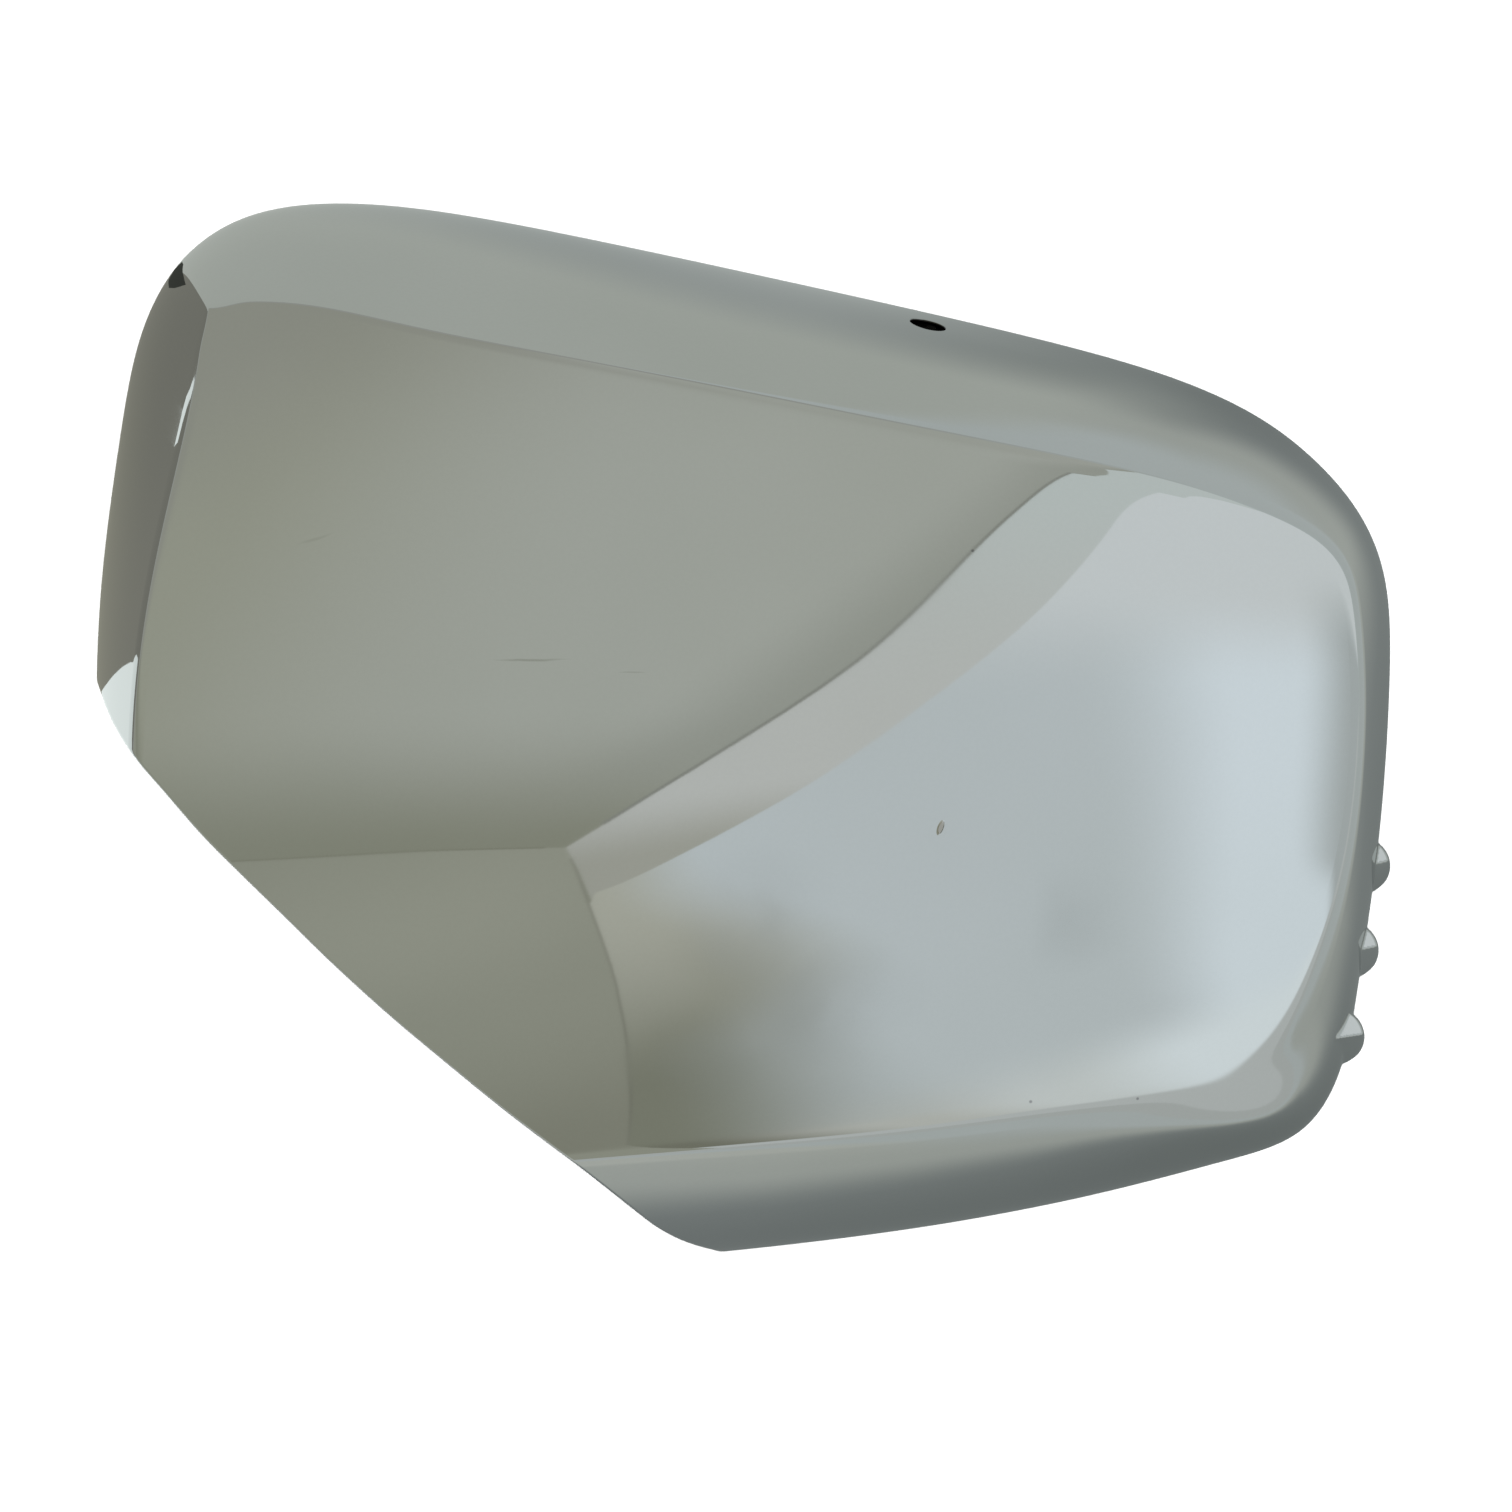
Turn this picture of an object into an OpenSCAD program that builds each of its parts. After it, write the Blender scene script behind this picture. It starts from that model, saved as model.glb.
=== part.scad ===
// Outer cover of a door mirror: one thin moulded shell with a plated outer face.
// Millimetres. The rim plane is z = 0, the plated face looks up (+Z),
// +X points to the outboard end and +Y to the upper edge of the fitted cover.

/* [Shell] */
// Thickness of the moulded wall
wall_t = 2.5; // [2:0.1:3]
// Height of the face over the rim at the middle of the panel
face_h = 68; // [64:1:72]
// Fall of the face towards the outboard end, over 100 mm
fall_x = 12.5; // [10:0.5:15]
// Crown of the face across its height, over 100 mm
crown_y = 45; // [40:1:48]
// Where the wall turns vertical, as a part of the face's height
wall_turn = 0.34; // [0.26:0.02:0.42]

/* [Diagonal edge] */
// Height of the point that the edge's drafted surface runs up to
draft_h = 1049; // [600:1:2000]
// Move of the whole edge away from the panel's middle
cut_shift = 0; // [-3:0.5:3]

/* [Screw hole in the upper wall] */
// Diameter of the hole
hole_d = 6.4; // [5:0.1:8]
// Place along the upper wall
hole_x = 33.2; // [20:0.2:45]
// Height of the hole's centre above the rim
hole_z = 18.9; // [16:0.1:22]

/* [Grip nubs on the outboard wall] */
// Radius of a nub
nub_r = 5.1; // [4.6:0.1:5.6]
// How far a nub stands out of the wall
nub_out = 2.9; // [2:0.1:3.4]

/* [Fixings inside] */
// Diameter of a locating peg
peg_d = 5; // [4:0.2:6]
// Free length of a locating peg
peg_len = 9; // [6:1:12]
// Diameter of the boss that carries a peg
boss_d = 9; // [8:0.5:10]
// Length of a snap bead behind the rim
bead_len = 12; // [8:1:16]
// How far a snap bead stands out of the wall
bead_out = 1.6; // [1:0.1:2]

/* [Hidden] */

// Stations round the cover, clockwise from the inboard side:
// rim x, y; crease x, y; first angle of the wall; setback of the crease's rounding.
// The lower inboard corner is the whole dome's, and the diagonal edge takes it off.
ST = [
    [-117.0, -24.0, -105.5, -23.0, 72, 2.5],
    [-117.9,   4.0, -105.5,   2.0, 72, 2.5],
    [-117.0,  28.0, -103.0,  25.0, 70, 2.5],
    [-113.9,  52.0,  -99.0,  46.0, 66, 2.5],
    [-110.3,  71.4,  -95.9,  63.0, 60, 2.0],
    [-102.5,  85.5,  -94.3,  73.2, 54, 1.6],
    [ -90.3,  93.5,  -85.0,  74.5, 50, 2.0],
    [ -74.0,  95.7,  -72.5,  73.0, 48, 2.0],
    [ -53.9,  94.0,  -54.5,  68.5, 48, 2.0],
    [ -27.9,  89.1,  -30.5,  63.5, 48, 2.0],
    [   2.1,  82.7,   -3.0,  58.0, 48, 2.0],
    [  33.1,  75.8,   26.5,  52.0, 48, 2.5],
    [  60.2,  69.3,   54.0,  47.0, 50, 3.0],
    [  80.2,  63.2,   74.5,  43.0, 52, 3.5],
    [  95.4,  55.9,   90.0,  38.5, 54, 4.0],
    [ 106.5,  46.6,  101.0,  34.0, 60, 3.5],
    [ 113.8,  36.7,  107.0,  28.0, 64, 3.0],
    [ 117.8,  24.1,  109.0,  19.5, 67, 2.5],
    [ 117.9,   6.0,  110.0,   5.0, 70, 2.5],
    [ 116.9, -12.0,  109.5, -11.0, 70, 2.5],
    [ 115.0, -30.1,  107.5, -27.5, 66, 3.0],
    [ 112.4, -47.1,  103.0, -43.5, 56, 4.0],
    [ 109.4, -62.5,   97.0, -55.5, 44, 5.0],
    [ 101.9, -74.5,   87.0, -63.0, 38, 5.0],
    [  87.1, -79.6,   72.0, -66.5, 40, 4.5],
    [  65.1, -85.5,   53.0, -69.0, 45, 4.0],
    [  38.1, -90.8,   29.0, -72.0, 48, 3.5],
    [  10.0, -94.6,    4.0, -74.0, 51, 3.0],
    [ -20.0, -97.5,  -23.5, -76.0, 53, 2.5],
    [ -52.0, -98.9,  -52.0, -78.0, 55, 2.5],
    [ -82.0, -96.6,  -79.0, -78.0, 58, 2.5],
    [-104.0, -86.0,  -96.0, -71.0, 62, 2.5],
    [-114.6, -66.0, -103.5, -57.5, 68, 2.5],
    [-117.0, -44.0, -106.0, -40.0, 72, 2.5]
];
NS = len(ST);

// The diagonal edge, as it passes the height 20, with its two rounded ends
EDGE = [
    [-121, 24], [-118.2, 14], [-116.2, 8], [-113.6, 1.2], [-109.6, -5.4], [-104, -12], [-97, -20],
    [-90.2, -26.8], [-83, -33.8], [-74, -42.6], [-64, -51.7], [-54, -60.1], [-43.7, -68.5],
    [-35.6, -74.7], [-28.5, -80], [-20.4, -86.4], [-15.5, -90.1], [-10.4, -92.7], [-4, -94.5],
    [4, -96], [14, -98]
];
// The point that its draft runs up to
DRAFT = [2.2, -5.4];

// Station of the crease's sharp corner, and its place
corner_at = 5;
CORNER = [-94.6, 73.8];

// Middle of the panel, where the face's section lines start
O = [0, -4];
// The part's origin is under the middle of its box
BASE = [-0.29, 0.21, 0];

// Section lines to a station, and points along each part of a line
PER = 4;
NF = 7;  // face
NC = 4;  // rounded crease
NW = 7;  // wall
NIF = 5; // inside face
NIC = 2; // inside crease
NIW = 5; // inside wall

// --- the line round the cover: a smooth closed curve through the stations
function st(i) = ST[(i + 4 * NS) % NS];
function cv(i) = st(i) - (st(i - 1) - 2 * st(i) + st(i + 1)) / 6;
function spl(u) = let (i = floor(u), t = u - i)
    ((1 - t) ^ 3 * cv(i - 1) + (3 * t ^ 3 - 6 * t ^ 2 + 4) * cv(i)
    + (-3 * t ^ 3 + 3 * t ^ 2 + 3 * t + 1) * cv(i + 1) + t ^ 3 * cv(i + 2)) / 6;
function dspl(u) = let (i = floor(u), t = u - i)
    (-(1 - t) ^ 2 * cv(i - 1) + (3 * t ^ 2 - 4 * t) * cv(i)
    + (-3 * t ^ 2 + 2 * t + 1) * cv(i + 1) + t ^ 2 * cv(i + 2)) / 2;
function unit(v) = v / norm(v);
function xy(p) = [p[0], p[1]];
function rim_pt(u) = let (r = spl(u)) [r[0], r[1]];
function rim_out(u) = let (d = dspl(u)) unit([-d[1], d[0]]);

// --- the face: a gently crowned panel
function slope(x, y) = let (X = x / 100, Y = y / 100) [
    -fall_x / 100 - 0.32 * X + 0.11 * Y - 0.1 * X * Y - 0.035 * Y * Y - 0.045 * Y ^ 3 - 0.048 * X ^ 3,
    0.05 + 0.11 * X - crown_y / 50 * Y - 0.05 * X * X - 0.07 * X * Y - 0.135 * X * Y * Y + 0.24 * Y ^ 3];
function face(x, y, off = 0) = let (X = x / 100, Y = y / 100, g = slope(x, y))
    face_h + 100 * (-fall_x / 100 * X + 0.05 * Y - 0.16 * X * X + 0.11 * X * Y - crown_y / 100 * Y * Y
    - 0.05 * X * X * Y - 0.035 * X * Y * Y - 0.045 * X * Y ^ 3 - 0.012 * X ^ 4 + 0.06 * Y ^ 4)
    - off * sqrt(1 + g * g);

// --- the crease, which runs straight into its sharp corner from both sides
function crease(u, r) = let (t = abs(u - corner_at)) t >= 1 ? [r[2], r[3]] : let (
    s = st(u < corner_at ? corner_at - 1 : corner_at + 1), w = (1 - t) ^ 2 * (1 + 2 * t))
    [r[2], r[3]] * (1 - w) + (CORNER * (1 - t) + [s[2], s[3]] * t) * w;

// --- crease and rim of the skin that lies off inside the outer one: [crease, rim, angle, setback]
function rails(u, off) = let (
    r = spl(u), P = [r[0], r[1]], C = crease(u, r), tw = r[4],
    dh = unit(P - C), a1 = atan(-(slope(C[0], C[1]) * dh)),
    k = off * (sin(a1) + sin(tw)) / (1 + cos(tw - a1)))
    [C - dh * k, P - rim_out(u) * off, tw, off == 0 ? r[5] : max(r[5] - off / 2, 0.8)];

// --- the wall from the crease (t = 0) down to the rim (t = 1)
function wall_pt(R, off, t) = let (
    C = R[0], L = norm(R[1] - C), dh = unit(R[1] - C), zc = face(C[0], C[1], off), a = L / 2,
    w = 3 * (1 - t) ^ 2 * t * a + 3 * (1 - t) * t * t * L + t ^ 3 * L,
    z = (1 - t) ^ 3 * zc + 3 * (1 - t) ^ 2 * t * (zc - a * tan(R[2])) + 3 * (1 - t) * t * t * wall_turn * zc)
    [C[0] + dh[0] * w, C[1] + dh[1] * w, z];
function wall_dir(R, off, t) = let (
    C = R[0], L = norm(R[1] - C), dh = unit(R[1] - C), zc = face(C[0], C[1], off), a = L / 2,
    z1 = zc - a * tan(R[2]), h2 = wall_turn * zc,
    dw = 3 * (1 - t) ^ 2 * a + 6 * (1 - t) * t * (L - a),
    dz = 3 * (1 - t) ^ 2 * (z1 - zc) + 6 * (1 - t) * t * (h2 - z1) - 3 * t * t * h2)
    unit([dh[0] * dw, dh[1] * dw, dz]);

// --- one section line: face, rounded crease and wall, without the middle point
function section(u, off, nf, nc, nw) = let (
    R = rails(u, off), C = R[0], rh = unit(C - O), len_f = norm(C - O) - R[3],
    L = norm(R[1] - C), tf = R[3] * cos(R[2]) / (1.5 * L),
    q = O + rh * len_f, g = slope(q[0], q[1]),
    Q0 = [q[0], q[1], face(q[0], q[1], off)], T0 = unit([rh[0], rh[1], g * rh]),
    Q3 = wall_pt(R, off, tf), T3 = wall_dir(R, off, tf), h = 0.42 * norm(Q3 - Q0),
    Q1 = Q0 + T0 * h, Q2 = Q3 - T3 * h)
    concat(
        [for (i = [1:nf - 1]) let (p = O + rh * len_f * i / nf) [p[0], p[1], face(p[0], p[1], off)]],
        [for (i = [0:nc - 1]) let (t = i / nc)
            (1 - t) ^ 3 * Q0 + 3 * (1 - t) ^ 2 * t * Q1 + 3 * (1 - t) * t * t * Q2 + t ^ 3 * Q3],
        [for (i = [0:nw]) wall_pt(R, off, tf + (1 - tf) * i / nw)]);

// --- the whole dome as one closed skin: outer side, rim and inner side
module dome() {
    nu = PER * NS;
    a = NF + NC + NW;    // points on an outer line
    b = NIF + NIC + NIW; // points on an inner line
    outer = [for (j = [0:nu - 1]) each section(j / PER, 0, NF, NC, NW)];
    inner = [for (j = [0:nu - 1]) each section(j / PER, wall_t, NIF, NIC, NIW)];
    top = nu * a + nu * b;
    pts = concat(outer, inner,
        [[O[0], O[1], face(O[0], O[1])], [O[0], O[1], face(O[0], O[1], wall_t)]]);
    ib = nu * a;
    faces = [for (j = [0:nu - 1]) let (k = (j + 1) % nu) each concat(
        [[top, k * a, j * a]],
        [for (i = [0:a - 2]) each [
            [j * a + i, k * a + i, k * a + i + 1],
            [j * a + i, k * a + i + 1, j * a + i + 1]]],
        [[j * a + a - 1, k * a + a - 1, ib + k * b + b - 1],
         [j * a + a - 1, ib + k * b + b - 1, ib + j * b + b - 1]],
        [for (i = [0:b - 2]) each [
            [ib + j * b + i, ib + k * b + i + 1, ib + k * b + i],
            [ib + j * b + i, ib + j * b + i + 1, ib + k * b + i + 1]]],
        [[top + 1, ib + j * b, ib + k * b]])];
    polyhedron(points = pts, faces = [for (f = faces) [f[0], f[2], f[1]]]);
}

// --- the diagonal edge: a smooth line through the points of EDGE, at t from 0 to len - 1
function edge_at(t) = let (n = len(EDGE), i = min(floor(t), n - 2), f = t - i,
    a = EDGE[max(i - 1, 0)], b = EDGE[i], c = EDGE[i + 1], d = EDGE[min(i + 2, n - 1)])
    (2 * b + (c - a) * f + (2 * a - 5 * b + 4 * c - d) * f ^ 2 + (3 * b - a - 3 * c + d) * f ^ 3) / 2;

// what the diagonal edge takes off: it narrows upwards to the point over DRAFT
module diagonal() {
    n = 4 * (len(EDGE) - 1);
    low = (draft_h + 5) / (draft_h - 20);
    high = (draft_h - 85) / (draft_h - 20);
    translate([DRAFT[0], DRAFT[1], -5]) linear_extrude(height = 90, scale = high / low) scale(low)
        polygon(concat([for (i = [0:n]) edge_at(i / 4) - cut_shift * [0.7, 0.7] - DRAFT],
            [[14, -150] - DRAFT, [-170, -150] - DRAFT, [-170, 24] - DRAFT]));
}

// where a section line of the skin that lies off inside passes the height z
function wall_t_at(R, off, z, lo = 0, hi = 1, n = 0) = let (m = (lo + hi) / 2)
    n > 24 ? m : (wall_pt(R, off, m)[2] > z ? wall_t_at(R, off, z, m, hi, n + 1) : wall_t_at(R, off, z, lo, m, n + 1));
function wall_at(u, off, z) = let (R = rails(u, off)) wall_pt(R, off, wall_t_at(R, off, z));
function wall_lean(u, off, z) = let (R = rails(u, off), d = wall_dir(R, off, wall_t_at(R, off, z)))
    atan2(norm(xy(d)), -d[2]);
// the place round the cover where the upper wall passes x
function upper_u(x, z, lo = 8, hi = 14, n = 0) = let (m = (lo + hi) / 2)
    n > 24 ? m : (wall_at(m, 0, z)[0] < x ? upper_u(x, z, m, hi, n + 1) : upper_u(x, z, lo, m, n + 1));

// clearance hole, square to the upper wall
module hole() {
    u = upper_u(hole_x, hole_z);
    n = rim_out(u);
    translate(wall_at(u, 0, hole_z)) rotate([0, 0, atan2(n[1], n[0])]) rotate([0, 90 - wall_lean(u, 0, hole_z), 0])
        translate([0, 0, -8]) cylinder(d = hole_d, h = 16, $fn = 64);
}

// one grip nub: a round nose that stands on the rim, rooted in the wall
module nub(u, zc, lean) {
    p = rim_pt(u);
    n = rim_out(u);
    translate([p[0], p[1], 0]) rotate([0, 0, atan2(n[1], n[0])]) intersection() {
        union() {
            translate([nub_out - nub_r, 0, zc]) sphere(r = nub_r, $fn = 64);
            translate([nub_out - nub_r, 0, 0]) cylinder(r = nub_r, h = zc, $fn = 64);
        }
        translate([-20, -20, 0]) cube([40, 40, 20]);
        rotate([0, -lean, 0]) translate([-wall_t / 2, -20, -10]) cube([20, 40, 40]);
    }
}

// one locating peg on its boss, rooted in the face
module peg(x, y) {
    g = slope(x, y);
    zf = face(x, y);
    zb = face(x, y, wall_t) - boss_d / 2 * norm(g) - 1.5; // the boss's flat end
    translate([x, y, 0]) {
        intersection() {
            translate([0, 0, zb]) cylinder(d = boss_d, h = zf - zb + 6, $fn = 64);
            translate([0, 0, zf]) rotate(a = atan(norm(g)), v = [g[1], -g[0], 0])
                translate([-20, -20, -60 - wall_t / 2]) cube([40, 40, 60]);
        }
        translate([0, 0, zb - peg_len]) cylinder(d = peg_d, h = peg_len + 1, $fn = 64);
    }
}

// one snap bead on the inside of the wall, close to the rim
module bead(u, z = 6) {
    n = rim_out(u);
    translate(wall_at(u, wall_t, z)) rotate([0, 0, atan2(n[1], n[0])]) rotate([0, -wall_lean(u, wall_t, z), 0])
        rotate([90, 0, 0]) translate([0, 0, -bead_len / 2]) linear_extrude(bead_len)
        polygon([[1, -3.4], [0, -3.4], [-bead_out, -1.9], [-bead_out, -1.1], [-0.2, 3], [1, 3]]);
}

// the whole cover
module mirror_cover() {
    color([0.74, 0.77, 0.78]) translate(BASE) difference() {
        union() {
            dome();
            nub(19.76, 3, 5);
            nub(20.65, 2.6, 9);
            nub(21.64, 2.2, 19);
            peg(-62, 48);
            peg(70, 22);
            peg(30, -52);
            for (u = [3, 7.5, 10.5, 13, 18, 25, 27]) bead(u);
        }
        diagonal();
        hole();
    }
}

mirror_cover();
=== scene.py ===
import math

import bmesh
import bpy
import numpy as np
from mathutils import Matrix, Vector, geometry


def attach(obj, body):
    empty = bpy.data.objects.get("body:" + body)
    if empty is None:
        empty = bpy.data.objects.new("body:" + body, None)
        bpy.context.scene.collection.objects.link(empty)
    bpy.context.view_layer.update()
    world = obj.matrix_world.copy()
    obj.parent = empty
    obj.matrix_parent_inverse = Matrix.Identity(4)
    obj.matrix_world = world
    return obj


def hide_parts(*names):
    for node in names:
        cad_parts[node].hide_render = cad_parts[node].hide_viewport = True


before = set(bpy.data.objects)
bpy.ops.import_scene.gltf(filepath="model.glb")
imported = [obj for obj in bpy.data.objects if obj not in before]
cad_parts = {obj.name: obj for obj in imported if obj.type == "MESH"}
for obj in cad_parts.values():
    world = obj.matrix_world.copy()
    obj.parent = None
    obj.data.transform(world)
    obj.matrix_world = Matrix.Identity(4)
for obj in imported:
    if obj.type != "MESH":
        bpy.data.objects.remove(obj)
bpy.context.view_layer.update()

MM = 0.001
BASE = np.array([-0.29, 0.21, 0.0])  # from the drawing's origin to the part's
WALL = 2.5

# ---------------------------------------------------------------------------
# camera: straight down on the face, a little off the middle, as a phone held over it
# ---------------------------------------------------------------------------
cam_data = bpy.data.cameras.new("camera")
cam_data.sensor_width = 36
cam_data.lens = 136.3
cam_data.clip_start, cam_data.clip_end = 0.05, 20
camera = bpy.data.objects.new("camera", cam_data)
camera.location = (0.00196, -0.00518, 1.049)
bpy.context.scene.collection.objects.link(camera)
bpy.context.scene.camera = camera

# ---------------------------------------------------------------------------
# the shell's shape: the same lines as the CAD part, evaluated on a finer net
# ---------------------------------------------------------------------------
# rim x, y; crease x, y; first angle of the wall; setback of the crease's rounding
ST = np.array([
    (-117.0, -24.0, -105.5, -23.0, 72, 2.5), (-117.9, 4.0, -105.5, 2.0, 72, 2.5),
    (-117.0, 28.0, -103.0, 25.0, 70, 2.5), (-113.9, 52.0, -99.0, 46.0, 66, 2.5),
    (-110.3, 71.4, -95.9, 63.0, 60, 2.0), (-102.5, 85.5, -94.3, 73.2, 54, 1.6),
    (-90.3, 93.5, -85.0, 74.5, 50, 2.0), (-74.0, 95.7, -72.5, 73.0, 48, 2.0),
    (-53.9, 94.0, -54.5, 68.5, 48, 2.0), (-27.9, 89.1, -30.5, 63.5, 48, 2.0),
    (2.1, 82.7, -3.0, 58.0, 48, 2.0), (33.1, 75.8, 26.5, 52.0, 48, 2.5),
    (60.2, 69.3, 54.0, 47.0, 50, 3.0), (80.2, 63.2, 74.5, 43.0, 52, 3.5),
    (95.4, 55.9, 90.0, 38.5, 54, 4.0), (106.5, 46.6, 101.0, 34.0, 60, 3.5),
    (113.8, 36.7, 107.0, 28.0, 64, 3.0), (117.8, 24.1, 109.0, 19.5, 67, 2.5),
    (117.9, 6.0, 110.0, 5.0, 70, 2.5), (116.9, -12.0, 109.5, -11.0, 70, 2.5),
    (115.0, -30.1, 107.5, -27.5, 66, 3.0), (112.4, -47.1, 103.0, -43.5, 56, 4.0),
    (109.4, -62.5, 97.0, -55.5, 44, 5.0), (101.9, -74.5, 87.0, -63.0, 38, 5.0),
    (87.1, -79.6, 72.0, -66.5, 40, 4.5), (65.1, -85.5, 53.0, -69.0, 45, 4.0),
    (38.1, -90.8, 29.0, -72.0, 48, 3.5), (10.0, -94.6, 4.0, -74.0, 51, 3.0),
    (-20.0, -97.5, -23.5, -76.0, 53, 2.5), (-52.0, -98.9, -52.0, -78.0, 55, 2.5),
    (-82.0, -96.6, -79.0, -78.0, 58, 2.5), (-104.0, -86.0, -96.0, -71.0, 62, 2.5),
    (-114.6, -66.0, -103.5, -57.5, 68, 2.5), (-117.0, -44.0, -106.0, -40.0, 72, 2.5)])
NST = len(ST)
CV = ST - (np.roll(ST, 1, 0) - 2 * ST + np.roll(ST, -1, 0)) / 6
MID = np.array([0.0, -4.0])
CORNER_U, CORNER = 5, np.array([-94.6, 73.8])  # station and place of the crease's sharp corner
# the diagonal edge at height 20; its surface is drafted up to the point over DRAFT
DRAFT, DRAFT_H = np.array([2.2, -5.4]), 1049.0
CUT_PTS = np.array([
    (-121, 24), (-118.2, 14), (-116.2, 8), (-113.6, 1.2), (-109.6, -5.4), (-104, -12), (-97, -20),
    (-90.2, -26.8), (-83, -33.8), (-74, -42.6), (-64, -51.7), (-54, -60.1), (-43.7, -68.5),
    (-35.6, -74.7), (-28.5, -80), (-20.4, -86.4), (-15.5, -90.1), (-10.4, -92.7), (-4, -94.5),
    (4, -96), (14, -98)])


def cut_curve(per=20):
    n = len(CUT_PTS)
    out = []
    for k in range(per * (n - 1) + 1):
        i = min(k // per, n - 2)
        f = k / per - i
        a, b, c, d = CUT_PTS[max(i - 1, 0)], CUT_PTS[i], CUT_PTS[i + 1], CUT_PTS[min(i + 2, n - 1)]
        out.append((2 * b + (c - a) * f + (2 * a - 5 * b + 4 * c - d) * f * f + (3 * b - a - 3 * c + d) * f ** 3) / 2)
    return np.array(out)


CUT = cut_curve()
CUT_DIR = np.gradient(CUT, axis=0)
for _ in range(6):  # evens out the turning from span to span
    CUT_DIR[1:-1] = (CUT_DIR[:-2] + 2 * CUT_DIR[1:-1] + CUT_DIR[2:]) / 4
CUT_IN = np.stack([-CUT_DIR[:, 1], CUT_DIR[:, 0]], -1)
CUT_IN /= np.linalg.norm(CUT_IN, axis=1, keepdims=True)


def cut_field(p):
    """Distance of points inside the drafted surface, and its inward normal there."""
    p = np.atleast_2d(p)
    k = (DRAFT_H - 20) / (DRAFT_H - p[:, 2])
    q = DRAFT + (p[:, :2] - DRAFT) * k[:, None]
    a, s = CUT[:-1], CUT[1:] - CUT[:-1]
    ss = (s * s).sum(-1)
    dist, nrm = np.empty(len(q)), np.empty((len(q), 2))
    for c in range(0, len(q), 4000):
        w = q[c:c + 4000, None, :] - a
        t = np.clip((w * s).sum(-1) / ss, 0, 1)
        r = w - t[..., None] * s
        i = (r * r).sum(-1).argmin(1)
        row = np.arange(len(i))
        r, t = r[row, i], t[row, i, None]
        n = CUT_IN[i] * (1 - t) + CUT_IN[i + 1] * t
        n /= np.linalg.norm(n, axis=1, keepdims=True)
        dist[c:c + 4000] = np.linalg.norm(r, axis=1) * np.sign((r * n).sum(-1))
        nrm[c:c + 4000] = n
    grad = np.concatenate([nrm * k[:, None], ((nrm * (p[:, :2] - DRAFT)).sum(-1) * k / (DRAFT_H - p[:, 2]))[:, None]], -1)
    size = np.linalg.norm(grad, axis=1)
    return dist / size, grad / size[:, None]


def spans(u):
    u = np.asarray(u, float) % NST
    i = np.floor(u).astype(int)
    return (u - i)[..., None], CV[(i - 1) % NST], CV[i % NST], CV[(i + 1) % NST], CV[(i + 2) % NST]


def line(u):
    t, a, b, c, d = spans(u)
    return ((1 - t) ** 3 * a + (3 * t ** 3 - 6 * t ** 2 + 4) * b + (-3 * t ** 3 + 3 * t ** 2 + 3 * t + 1) * c + t ** 3 * d) / 6


def line_dir(u):
    t, a, b, c, d = spans(u)
    return (-(1 - t) ** 2 * a + (3 * t ** 2 - 4 * t) * b + (-3 * t ** 2 + 2 * t + 1) * c + t ** 2 * d) / 2


def unit(v):
    return v / np.maximum(np.linalg.norm(v, axis=-1, keepdims=True), 1e-12)


def slope(x, y):
    X, Y = x / 100, y / 100
    return (-.125 - .32 * X + .11 * Y - .1 * X * Y - .035 * Y * Y - .045 * Y ** 3 - .048 * X ** 3,
            .05 + .11 * X - .9 * Y - .05 * X * X - .07 * X * Y - .135 * X * Y * Y + .24 * Y ** 3)


def face(x, y, off=0.0):
    X, Y = x / 100, y / 100
    gx, gy = slope(x, y)
    return 68 + 100 * (-.125 * X + .05 * Y - .16 * X * X + .11 * X * Y - .45 * Y * Y - .05 * X * X * Y
                       - .035 * X * Y * Y - .045 * X * Y ** 3 - .012 * X ** 4 + .06 * Y ** 4) \
        - off * np.sqrt(1 + gx * gx + gy * gy)


def rim_out(u):
    d = line_dir(u)
    return unit(np.stack([-d[..., 1], d[..., 0]], -1))


def rails(u, off):
    r = line(u)
    P, C, tw, rf = r[..., 0:2], r[..., 2:4], np.radians(r[..., 4]), r[..., 5]
    # the crease runs straight into its sharp corner from both sides
    t = ((np.asarray(u, float) - CORNER_U + NST / 2) % NST - NST / 2)[..., None]
    far = np.minimum(np.abs(t), 1)
    side = np.where(t < 0, ST[CORNER_U - 1, 2:4], ST[CORNER_U + 1, 2:4])
    w = (1 - far) ** 2 * (1 + 2 * far)
    C = C * (1 - w) + (CORNER * (1 - far) + side * far) * w
    if off:
        dh = unit(P - C)
        gx, gy = slope(C[..., 0], C[..., 1])
        a1 = np.arctan(-(gx * dh[..., 0] + gy * dh[..., 1]))
        k = off * (np.sin(a1) + np.sin(tw)) / (1 + np.cos(tw - a1))
        C = C - dh * k[..., None]
        P = P - rim_out(u) * off
        rf = np.maximum(rf - off / 2, .8)
    return C, P, tw, rf


def wall(C, P, tw, off, t):
    L = np.linalg.norm(P - C, axis=-1)
    dh = unit(P - C)
    zc = face(C[..., 0], C[..., 1], off)
    a = .5 * L
    z1, h2 = zc - a * np.tan(tw), .34 * zc
    w = 3 * (1 - t) ** 2 * t * a + 3 * (1 - t) * t * t * L + t ** 3 * L
    z = (1 - t) ** 3 * zc + 3 * (1 - t) ** 2 * t * z1 + 3 * (1 - t) * t * t * h2
    dw = 3 * (1 - t) ** 2 * a + 6 * (1 - t) * t * (L - a)
    dz = 3 * (1 - t) ** 2 * (z1 - zc) + 6 * (1 - t) * t * (h2 - z1) - 3 * t * t * h2
    return (np.concatenate([C + dh * w[..., None], z[..., None]], -1),
            np.concatenate([dh * dw[..., None], dz[..., None]], -1))


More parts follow.
